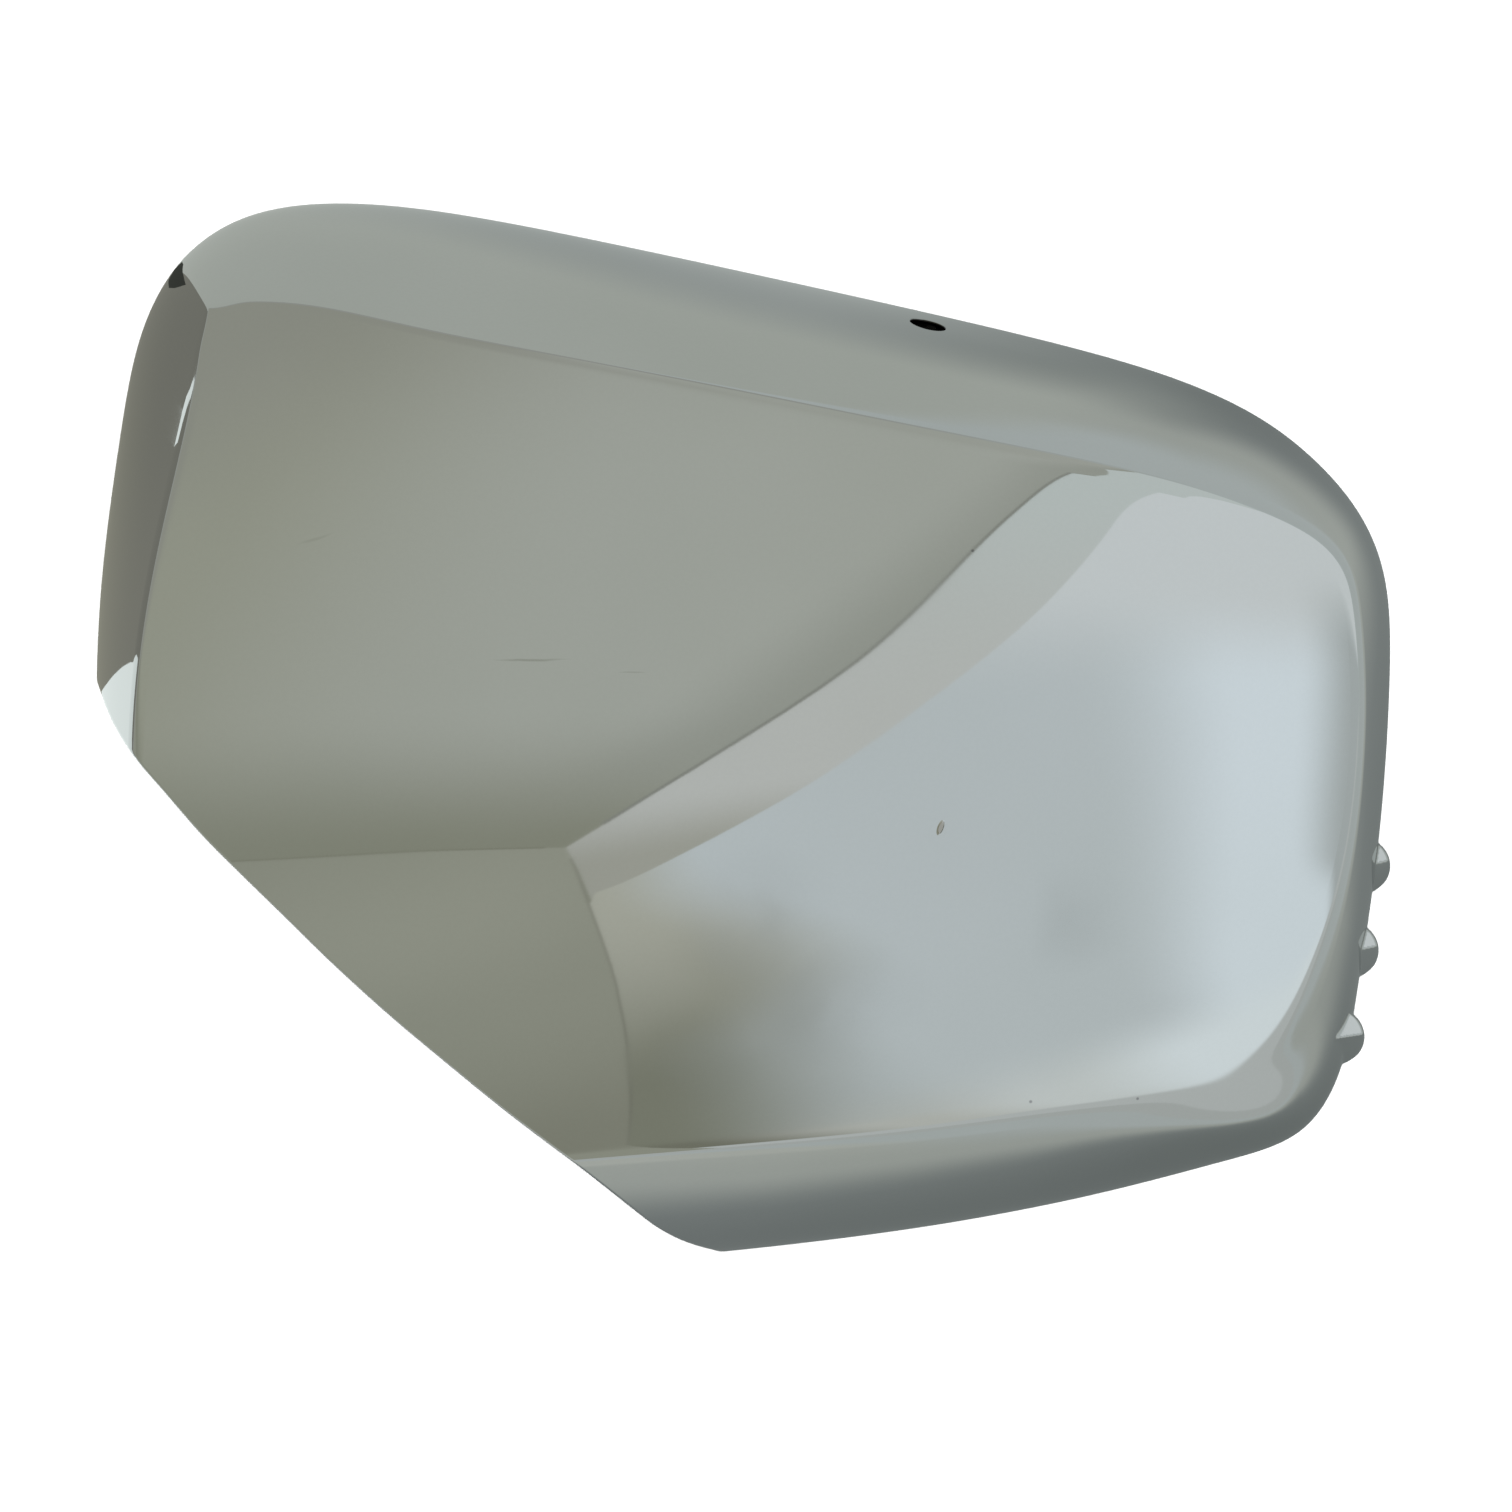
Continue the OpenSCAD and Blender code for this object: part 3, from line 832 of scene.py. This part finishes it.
# ---------------------------------------------------------------------------
# node helpers
# ---------------------------------------------------------------------------
class Nodes:
    def __init__(self, name):
        self.mat = bpy.data.materials.new(name)
        self.mat.use_nodes = True
        self.tree = self.mat.node_tree
        self.tree.nodes.clear()
        self.out = self.tree.nodes.new("ShaderNodeOutputMaterial")
        self.coord = self.tree.nodes.new("ShaderNodeTexCoord").outputs["Object"]

    def link(self, a, b):
        if isinstance(a, bpy.types.NodeSocket):
            self.tree.links.new(a, b)
        else:
            b.default_value = a

    def math(self, op, a, b=0.0, c=None, clamp=False):
        n = self.tree.nodes.new("ShaderNodeMath")
        n.operation = op
        n.use_clamp = clamp
        self.link(a, n.inputs[0])
        self.link(b, n.inputs[1])
        if c is not None:
            self.link(c, n.inputs[2])
        return n.outputs[0]

    def vec(self, op, a, b=(0, 0, 0)):
        n = self.tree.nodes.new("ShaderNodeVectorMath")
        n.operation = op
        self.link(a, n.inputs[0])
        self.link(b, n.inputs[1])
        return n.outputs["Value"] if op in ("LENGTH", "DOT_PRODUCT") else n.outputs["Vector"]

    def noise(self, scale, detail=3.0, rough=.5, vector=None, out="Fac", distort=0.0):
        n = self.tree.nodes.new("ShaderNodeTexNoise")
        n.inputs["Scale"].default_value = scale
        n.inputs["Detail"].default_value = detail
        n.inputs["Roughness"].default_value = rough
        n.inputs["Distortion"].default_value = distort
        self.link(self.coord if vector is None else vector, n.inputs["Vector"])
        return n.outputs[out]

    def ramp(self, x, lo, hi, to_lo=0.0, to_hi=1.0, kind="SMOOTHSTEP"):
        n = self.tree.nodes.new("ShaderNodeMapRange")
        n.interpolation_type = kind
        for s, v in (("Value", x), ("From Min", lo), ("From Max", hi), ("To Min", to_lo), ("To Max", to_hi)):
            self.link(v, n.inputs[s])
        return n.outputs[0]

    def mix(self, fac, a, b):
        n = self.tree.nodes.new("ShaderNodeMix")
        n.data_type = "RGBA"
        self.link(fac, n.inputs[0])
        self.link(a if isinstance(a, bpy.types.NodeSocket) else (*a, 1), n.inputs[6])
        self.link(b if isinstance(b, bpy.types.NodeSocket) else (*b, 1), n.inputs[7])
        return n.outputs[2]

    def xyz(self, v):
        n = self.tree.nodes.new("ShaderNodeSeparateXYZ")
        self.link(v, n.inputs[0])
        return n.outputs

    def blob(self, vector, centre, radii, soft=1.0, turn=0.0):
        """1 at the centre, falling smoothly to 0 at the radii."""
        v = self.vec("SUBTRACT", vector, centre)
        if turn:
            r = self.tree.nodes.new("ShaderNodeVectorRotate")
            r.rotation_type = "Z_AXIS"
            self.link(v, r.inputs["Vector"])
            r.inputs["Angle"].default_value = math.radians(turn)
            v = r.outputs[0]
        v = self.vec("MULTIPLY", v, tuple(1 / r for r in radii))
        return self.ramp(self.vec("LENGTH", v), 1 - soft, 1, 1, 0)


# ---------------------------------------------------------------------------
# plated outside
# ---------------------------------------------------------------------------
N = Nodes("chrome_plating")
bsdf = N.tree.nodes.new("ShaderNodeBsdfPrincipled")
N.link(bsdf.outputs[0], N.out.inputs[0])
bsdf.inputs["Metallic"].default_value = 1.0
warp = N.vec("ADD", N.coord, N.vec("MULTIPLY", N.vec("SUBTRACT", N.noise(34, 2, .55, out="Color"), (.5, .5, .5)), (.016, .016, .016)))
# darker, rougher patches on the lower outboard half; the base colour darkens and the roughness rises there
dull_patch = N.blob(warp, (.0028, -.0332, .06), (.017, .019, .05))
dull_patch = N.math("MAXIMUM", dull_patch, N.math("MULTIPLY", N.blob(warp, (.0132, -.0474, .053), (.019, .013, .05)), .9))
dull_patch = N.math("MAXIMUM", dull_patch, N.math("MULTIPLY", N.blob(warp, (-.0077, -.0579, .052), (.017, .016, .05)), .8))
dull_patch = N.math("MAXIMUM", dull_patch, N.math("MULTIPLY", N.blob(warp, (.0588, -.0337, .046), (.009, .011, .05)), .75))
dull_patch = N.math("MULTIPLY", dull_patch, N.ramp(N.noise(60, 2, .6), .3, .72, .45, 1.0))
film = N.ramp(N.noise(14, 2, .55), .38, .72)
# a stuck brown crumb, dark pin points and two short scratches
speck = N.blob(warp, (.0339, -.01757, .0589), (.0011, .0021, .01), .75, 20)
crumb = N.blob(N.coord, (.0339, -.01757, .0589), (.0006, .0015, .01), .5, 20)
pin = N.blob(N.coord, (.05075, -.06658, .03206), (.00042, .00042, .005), .7)
pin = N.math("MAXIMUM", pin, N.blob(N.coord, (.07022, -.06647, .02502), (.00038, .00038, .005), .7))
pin = N.math("MAXIMUM", pin, N.blob(N.coord, (.03943, .03032, .05893), (.00042, .00036, .005), .7))
scr_w = N.vec("ADD", N.coord, N.vec("MULTIPLY", N.vec("SUBTRACT", N.noise(120, 2, .5, out="Color"), (.5, .5, .5)), (.0, .0011, .0)))
scratch = N.blob(scr_w, (-.0366, .01129, .0698), (.0076, .00032, .01), .8)
scratch = N.math("MAXIMUM", scratch, N.math("MULTIPLY", N.blob(scr_w, (-.0192, .0092, .0697), (.003, .00024, .01), .8), .55))
scratch = N.math("MAXIMUM", scratch, N.math("MULTIPLY", N.blob(scr_w, (-.0740, .0323, .0621), (.004, .0004, .01), .8, -18), .4))
tint = N.mix(film, (.628, .640, .640), (.606, .620, .614))
tint = N.mix(N.math("MULTIPLY", dull_patch, .30), tint, (.36, .37, .355))
tint = N.mix(N.math("MULTIPLY", scratch, .42), tint, (.30, .31, .27))
tint = N.mix(N.math("MULTIPLY", pin, .65), tint, (.18, .18, .2))
tint = N.mix(N.math("MULTIPLY", crumb, .6), tint, (.33, .27, .2))
grain = N.ramp(N.noise(1300, 1, .7), .3, .7)
tint = N.mix(N.math("MULTIPLY", grain, .05), tint, (.5, .51, .5))
# painted shade: the bare bore of the screw hole is darkened almost to black in the base colour, standing in for the
# shade inside the hole
bore_at = tuple((HC - HAX * 1.5 + BASE) * MM)
bore_painted_shade = N.ramp(N.vec("LENGTH", N.vec("SUBTRACT", N.coord, bore_at)), .00352, .0037, 1, 0)
tint = N.mix(bore_painted_shade, tint, (.03, .028, .025))
N.link(tint, bsdf.inputs["Base Color"])
rough = N.ramp(film, 0, 1, .028, .05)
rough = N.math("ADD", rough, N.math("MULTIPLY", dull_patch, .16))
rough = N.math("ADD", rough, N.math("MULTIPLY", N.math("MAXIMUM", scratch, speck), .22), clamp=True)
N.link(rough, bsdf.inputs["Roughness"])
bump = N.tree.nodes.new("ShaderNodeBump")
bump.inputs["Strength"].default_value = 1.0
bump.inputs["Distance"].default_value = 1.0
relief = N.math("MULTIPLY", N.noise(42, 1, .4), .000008)
relief = N.math("ADD", relief, N.math("MULTIPLY", crumb, .00018))
N.link(relief, bump.inputs["Height"])
N.link(bump.outputs[0], bsdf.inputs["Normal"])
chrome = N.mat

# ---------------------------------------------------------------------------
# inside: the plating's dull, thin underside over moulded plastic
# ---------------------------------------------------------------------------
N = Nodes("inside_satin")
bsdf = N.tree.nodes.new("ShaderNodeBsdfPrincipled")
N.link(bsdf.outputs[0], N.out.inputs[0])
bsdf.inputs["Metallic"].default_value = .85
cloud = N.ramp(N.noise(22, 5, .6), .3, .7)
tint = N.mix(cloud, (.34, .345, .345), (.46, .465, .46))
tint = N.mix(N.math("MULTIPLY", N.ramp(N.noise(900, 2, .5), .55, .7), .35), tint, (.27, .27, .27))
N.link(tint, bsdf.inputs["Base Color"])
N.link(N.ramp(N.noise(40, 4, .6), .3, .7, .30, .46), bsdf.inputs["Roughness"])
bump = N.tree.nodes.new("ShaderNodeBump")
bump.inputs["Strength"].default_value = .6
bump.inputs["Distance"].default_value = 1.0
N.link(N.math("MULTIPLY", N.noise(1500, 3, .6), .00003), bump.inputs["Height"])
N.link(bump.outputs[0], bsdf.inputs["Normal"])
satin = N.mat

mesh.materials.append(chrome)
mesh.materials.append(satin)
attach(shell, "root")
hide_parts("mirror_cover")


# ---------------------------------------------------------------------------
# studio: pale floor and soft light for the eye, and the plain room that the plating mirrors
# ---------------------------------------------------------------------------
def lin(c):
    return tuple((x / 255 / 12.92 if x < 11 else ((x / 255 + .055) / 1.055) ** 2.4) for x in c)


def seen(c, k=.635):
    """Light that a wall sends out so that the plating shows tone c."""
    return tuple(x / k for x in lin(c))


def smooth_path(pts, per=8, closed=False):
    out = []
    n = len(pts)
    for i in range(n - 1):
        p0 = np.array(pts[max(i - 1, 0)], float)
        p1, p2 = np.array(pts[i], float), np.array(pts[i + 1], float)
        p3 = np.array(pts[min(i + 2, n - 1)], float)
        for k in range(per):
            t = k / per
            out.append(.5 * (2 * p1 + (p2 - p0) * t + (2 * p0 - 5 * p1 + 4 * p2 - p3) * t * t + (3 * p1 - p0 - 3 * p2 + p3) * t ** 3))
    out.append(np.array(pts[-1], float))
    return [tuple(p) for p in out]


def stage_mesh(name, verts, faces, mat):
    m = bpy.data.meshes.new(name)
    m.from_pydata(verts, [], faces)
    m.materials.append(mat)
    ob = bpy.data.objects.new(name, m)
    bpy.context.scene.collection.objects.link(ob)
    return ob


def only_mirrored(ob):
    ob.visible_camera = False
    ob.visible_diffuse = False
    ob.visible_transmission = False
    ob.visible_volume_scatter = False
    ob.visible_shadow = False


def glow(name, base, spots, unit_len):
    """Plain emission: a base tone with soft spots (x, y, radius x, radius y, tone, share), in units of unit_len."""
    g = Nodes(name)
    v = g.vec("MULTIPLY", g.coord, (1 / unit_len, 1 / unit_len, 0))
    col = seen(base)
    for x, y, rx, ry, tone, share in spots:
        b = g.blob(v, (x, y, 0), (rx, ry, 1))
        col = g.mix(g.math("MULTIPLY", b, share), col, seen(tone))
    em = g.tree.nodes.new("ShaderNodeEmission")
    g.link(col if isinstance(col, bpy.types.NodeSocket) else (*col, 1), em.inputs["Color"])
    g.link(em.outputs[0], g.out.inputs[0])
    g.mat.cycles.emission_sampling = "NONE"
    return g.mat


H = 30.0     # height of the mirrored ceiling; far off, so it slides little across the part
EYE_Z = .06


def panel(name, pts, level, mat):
    """Flat figure overhead; its points are (x, y) for a ceiling one unit up."""
    h = H - .05 * level
    poly = [Vector((x, y, 0)) for x, y in pts]
    tris = geometry.tessellate_polygon([poly])
    ob = stage_mesh(name, [(p.x * h, p.y * h, h + EYE_Z) for p in poly], tris, mat)
    only_mirrored(ob)
    return ob


FAR = 14.0
# where the ceiling ends at the right: first the coving, then the bright wall
L1 = [(.083, -.43), (.214, -.214), (.394, .083), (.577, .459), (.71, .68), (.839, .849), (.979, .96)]
L2 = [(.15, -.621), (.21, -.567), (.365, -.349), (.516, -.076), (.704, .242), (.87, .53), (.985, .72), (1.094, .83), (1.271, .93)]
L3 = [(.083, -.43), (-.015, -.391), (-.137, -.345), (-.382, -.27)]
L4 = [(.083, -.43), (.113, -.53), (.143, -.64), (.17, -.74), (.202, -.86), (.245, -1.03), (.275, -1.16), (.325, -1.38), (.392, -1.7), (.45, -2.0), (.515, -2.38)]


def room(name):
    g = Nodes(name)
    x, y, z = g.xyz(g.vec("MULTIPLY", g.coord, (1 / H, 1 / H, 0)))
    return g, x, y


def emit(g, colour):
    em = g.tree.nodes.new("ShaderNodeEmission")
    g.link(colour if isinstance(colour, bpy.types.NodeSocket) else (*colour, 1), em.inputs["Color"])
    g.link(em.outputs[0], g.out.inputs[0])
    g.mat.cycles.emission_sampling = "NONE"
    return g.mat


# ceiling: duller to the left and toward the top, with painted shade along the edges where it meets the walls
g, x, y = room("room_ceiling")
tone = g.mix(g.ramp(x, -.9, .1), seen((143, 145, 132)), seen((156, 159, 152)))
tone = g.mix(g.math("MULTIPLY", g.ramp(y, .8, 2.2), g.ramp(x, .8, -.8, .25, .8)), tone, seen((134, 135, 127)))
d3 = g.math("ADD", g.math("ADD", y, g.math("MULTIPLY", x, .344)), .40)
tone = g.mix(g.ramp(d3, 0, .45, 1, 0), tone, seen((126, 128, 115)))
d1 = g.math("SUBTRACT", g.math("ADD", g.math("MULTIPLY", y, .6), .345), x)
tone = g.mix(g.math("MULTIPLY", g.ramp(d1, 0, .25, .7, 0), g.ramp(y, -.4, -.1)), tone, seen((137, 140, 132)))
ceiling = emit(g, tone)

g, x, y = room("room_coving")
tone = g.mix(g.ramp(y, -.2, .9), seen((175, 177, 174)), seen((175, 182, 180)))
tone = g.mix(g.ramp(y, -.52, -.28, 1, 0), tone, seen((150, 151, 142)))
coving = emit(g, tone)

# bright wall: shaded into its left corner, brightest along a line further out
g, x, y = room("room_wall")
down = g.math("MAXIMUM", g.math("MULTIPLY", y, -1), .05)
theta = g.math("DIVIDE", x, down)
ridge = g.math("ADD", g.math("MULTIPLY", down, g.math("ADD", g.math("MULTIPLY", down, .1), .22)), 1.25)
across = g.math("SUBTRACT", x, ridge)
tone = g.mix(g.ramp(across, -.5, 0), seen((175, 182, 184)), seen((199, 208, 213)))
tone = g.mix(g.ramp(y, -.1, .4), tone, seen((189, 194, 195)))
drop = g.math("SUBTRACT", g.math("SUBTRACT", x, 1.52), g.math("MULTIPLY", g.math("MULTIPLY", down, down), .25))
span = g.math("MULTIPLY", g.ramp(y, .6, .1), g.ramp(theta, 1.4, 1.75))
tone = g.mix(g.math("MULTIPLY", g.ramp(drop, 0, .38), span), tone, seen((159, 165, 165)))
wide = g.math("MULTIPLY", g.ramp(down, .62, 1.0), g.ramp(down, 1.65, 1.05))
bend = g.math("SUBTRACT", theta, g.math("MULTIPLY", wide, .11))
dark = g.mix(g.ramp(down, .6, 1.8), seen((160, 161, 150)), seen((116, 118, 105)))
tone = g.mix(g.math("MULTIPLY", g.ramp(bend, .24, .52, 1, 0), g.ramp(y, -.3, -.5)), tone, dark)
out = g.mix(g.ramp(theta, .24, .42), seen((108, 109, 97)), seen((171, 173, 168)))
out = g.mix(g.ramp(theta, .44, .58), out, seen((187, 192, 191)))
out = g.mix(g.ramp(theta, .6, .8), out, seen((203, 211, 214)))
tone = g.mix(g.math("MULTIPLY", g.ramp(down, 2.2, 3.2), g.ramp(theta, 1.5, 1.2)), tone, out)
away = g.math("SQRT", g.math("ADD", g.math("MULTIPLY", x, x), g.math("MULTIPLY", y, y)))
tone = g.mix(g.math("MULTIPLY", g.ramp(away, 5.9, 7.0), g.ramp(y, -.5, -1.5)), tone, seen((168, 172, 171)))
bright = emit(g, tone)

lower = glow("room_lower_wall", (134, 136, 124), [
    (-.05, -.6, .5, .5, (141, 143, 131), .9),
    (.3, -2.2, .9, 1.2, (120, 121, 109), .95)], H)
shadow = glow("room_corner", (124, 125, 114), [(.4, -1.8, .8, 1.0, (106, 107, 96), .9)], H)

panel("room_ceiling", [(-FAR, -FAR), (FAR, -FAR), (FAR, FAR), (-FAR, FAR)], 0, ceiling)
panel("room_lower_wall", smooth_path(L3) + [(-1.2, -.03), (-FAR, 3.2), (-FAR, -FAR), (3.2, -FAR)] + smooth_path(L4)[::-1][:-1], 1, lower)
panel("room_wall", smooth_path(L2) + [(1.5, 1.25), (1.9, 1.75), (3.0, 2.95), (FAR, FAR), (FAR, -FAR), (3.2, -FAR)]
      + [p for p in smooth_path(L4)[::-1] if p[1] < -.66], 2, bright)
panel("room_coving", smooth_path(L1) + [(1.15, 1.25), (1.9, 2.7), (9.0, FAR), (FAR, FAR), (3.0, 2.95), (1.9, 1.75), (1.5, 1.25)] + smooth_path(L2)[::-1] + [(.15, -.65), (.112, -.52)], 3, coving)
line_top = smooth_path(L1)[3:]
panel("room_edge", [(x - .005, y + .004) for x, y in line_top] + [(x + .001, y - .001) for x, y in line_top[::-1]], 5, glow("room_edge", (122, 124, 117), [], H))
line_low = smooth_path(L3)[3:] + [(-1.2, -.03)]
panel("room_edge_low", [(x, y + .0035) for x, y in line_low] + [(x, y - .001) for x, y in line_low[::-1]], 5, glow("room_edge_low", (116, 117, 104), [], H))
strip = smooth_path(L4)[4:]
panel("room_corner", [(x - .002 - .0012 * abs(y), y) for x, y in strip] + [(x + .001, y) for x, y in strip[::-1]], 4, shadow)

# sky round the horizon
bm2 = bmesh.new()
bmesh.ops.create_uvsphere(bm2, u_segments=96, v_segments=48, radius=700)
dm = bpy.data.meshes.new("room_far")
bm2.to_mesh(dm)
bm2.free()
g = Nodes("room_far")
ox, oy, oz = g.xyz(g.vec("MULTIPLY", g.coord, (1 / 700, 1 / 700, 1 / 700)))
side = g.ramp(ox, .15, .75)
tone = g.mix(side, seen((138, 140, 135)), seen((160, 167, 166)))
low = g.ramp(oy, -.2, -.6)
tone = g.mix(low, tone, seen((158, 162, 160)))
dm.materials.append(emit(g, tone))
far = bpy.data.objects.new("room_far", dm)
bpy.context.scene.collection.objects.link(far)
only_mirrored(far)

# the table as the plating mirrors it, with the cover's shadow painted in: dark where the cover stands on it, lighter
# further out.
# The painted shadow reaches furthest toward the lower outboard corner and least to the outboard side.
CARD = 3.0
g = Nodes("table_mirrored")
x, y, z = g.xyz(g.coord)
oval = g.vec("LENGTH", g.vec("MULTIPLY", g.coord, (1 / .118, 1 / .096, 0)))
turn = g.math("ADD", g.math("MULTIPLY", g.math("ARCTAN2", y, x), .5 / math.pi), .5)
reach = g.tree.nodes.new("ShaderNodeFloatCurve")
g.link(turn, reach.inputs["Value"])
curve = reach.mapping.curves[0]
marks = [(-180, 1.0), (-84, 1.0), (-73, 1.25), (-64, 1.75), (-60, 2.5), (-53, 5.0), (-46, 5.0), (-41, 3.6), (-37, 2.4),
         (-33, 1.3), (-27, .65), (-18, .3), (-8, .25), (20, .25), (30, .33), (45, .5), (60, .6), (140, .7), (180, 1.0)]
for k, (deg, size) in enumerate(marks):
    at = (deg / 360 + .5, .24 / size)
    if k in (0, len(marks) - 1):
        curve.points[0 if k == 0 else -1].location = at
    else:
        curve.points.new(*at)
for pt in curve.points:
    pt.handle_type = "VECTOR"
reach.mapping.update()
s = g.math("MULTIPLY", g.math("MULTIPLY", g.math("SUBTRACT", oval, 1.0), reach.outputs[0]), 1 / .24)
# painted shadow: darkest right next to the cover, lighter a little further out
near = g.mix(g.ramp(s, 0, .45, kind="LINEAR"), seen((97, 102, 101)), seen((111, 116, 115)))
away = g.mix(g.ramp(s, .9, 1.5), seen((148, 152, 147)), g.mix(g.ramp(x, .05, .11), seen((160, 163, 157)), seen((158, 164, 163))))
table = g.mix(g.ramp(s, .38, .92), near, away)
# the upper side stands in less shade
up_near = g.mix(g.ramp(x, .01, .075), seen((138, 143, 141)), seen((118, 123, 121)))
up_tone = g.mix(g.ramp(oval, 1.0, 1.42), up_near, seen((153, 157, 151)))
table = g.mix(g.math("MULTIPLY", g.ramp(y, .055, .085), g.ramp(x, .11, .075)), table, up_tone)
emit(g, table)
card = stage_mesh("table_mirrored", [(-CARD, -CARD, -.002), (CARD, -CARD, -.002), (CARD, CARD, -.002), (-CARD, CARD, -.002)], [(0, 1, 2, 3)], g.mat)
only_mirrored(card)


def table_figure(name, pts, level, mat):
    z = -.002 + .0002 * level
    poly = [Vector((px * MM, py * MM, 0)) for px, py in pts]
    ob = stage_mesh(name, [(p.x, p.y, z) for p in poly], geometry.tessellate_polygon([poly]), mat)
    only_mirrored(ob)


grey = glow("table_grey", (106, 106, 99), [(-.118, .02, .03, .08, (116, 116, 105), .8)], 1.0)
white = glow("table_white", (196, 203, 201), [], 1.0)
stripe = glow("table_stripe", (205, 212, 210), [], 1.0)
black_patch = glow("table_black_patch", (48, 50, 46), [], 1.0)
table_figure("table_left", [(-104, 84), (-112, 90), (-119, 96), (-130, 106), (-145, 120), (-220, 190), (-900, 800), (-3000, 1000), (-3000, -500), (-100, -60)], 1, grey)
# a black patch on the mirrored table at the cover's upper outboard corner
table_figure("table_spot", [(-118.5, 91), (-112, 89.5), (-107, 88.5), (-105, 87), (-105, 84.5), (-108, 83.5), (-112, 84.5), (-115, 87)], 3, black_patch)
table_figure("table_sheet", [(-115, 4), (-125, 7), (-129, 9), (-134, 12), (-140, 16), (-146, 18), (-180, 27), (-227, 39), (-330, 66), (-330, -80), (-115, -60)], 2, white)
table_figure("table_strip", [(-143, 66), (-145, 75), (-152, 82), (-178, 100), (-344, 223), (-608, 424), (-608, 420), (-336, 211), (-202, 112), (-175, 90), (-168, 81)], 2, stripe)

# floor and light that the camera sees
g = Nodes("studio_floor")
d = g.tree.nodes.new("ShaderNodeBsdfDiffuse")
d.inputs["Color"].default_value = (.91, .91, .91, 1)
g.link(d.outputs[0], g.out.inputs[0])
floor = stage_mesh("studio_floor", [(-6, -6, 0), (6, -6, 0), (6, 6, 0), (-6, 6, 0)], [(0, 1, 2, 3)], g.mat)
floor.visible_glossy = False

world = bpy.data.worlds.new("studio")
bpy.context.scene.world = world
world.use_nodes = True
bg = world.node_tree.nodes.get("Background")
bg.inputs[0].default_value = (1, 1, 1, 1)
bg.inputs[1].default_value = 1.8


def softbox(name, at, size, power):
    l = bpy.data.lights.new(name, "AREA")
    l.shape = "DISK"
    l.size = size
    l.energy = power
    ob = bpy.data.objects.new(name, l)
    ob.location = at
    ob.rotation_mode = "QUATERNION"
    ob.rotation_quaternion = (Vector((0, 0, .03)) - Vector(at)).to_track_quat("-Z", "Y")
    bpy.context.scene.collection.objects.link(ob)
    ob.visible_glossy = False
    ob.visible_camera = False


softbox("softbox_key", (.9, .7, 1.9), 1.6, 12)
softbox("softbox_fill", (-1.2, -.8, 1.7), 1.8, 7)

scene = bpy.context.scene
scene.view_settings.view_transform = "Standard"
scene.view_settings.look = "None"
scene.view_settings.exposure = 0
scene.view_settings.gamma = 1
scene.cycles.max_bounces = 5
scene.cycles.diffuse_bounces = 1
scene.cycles.glossy_bounces = 4
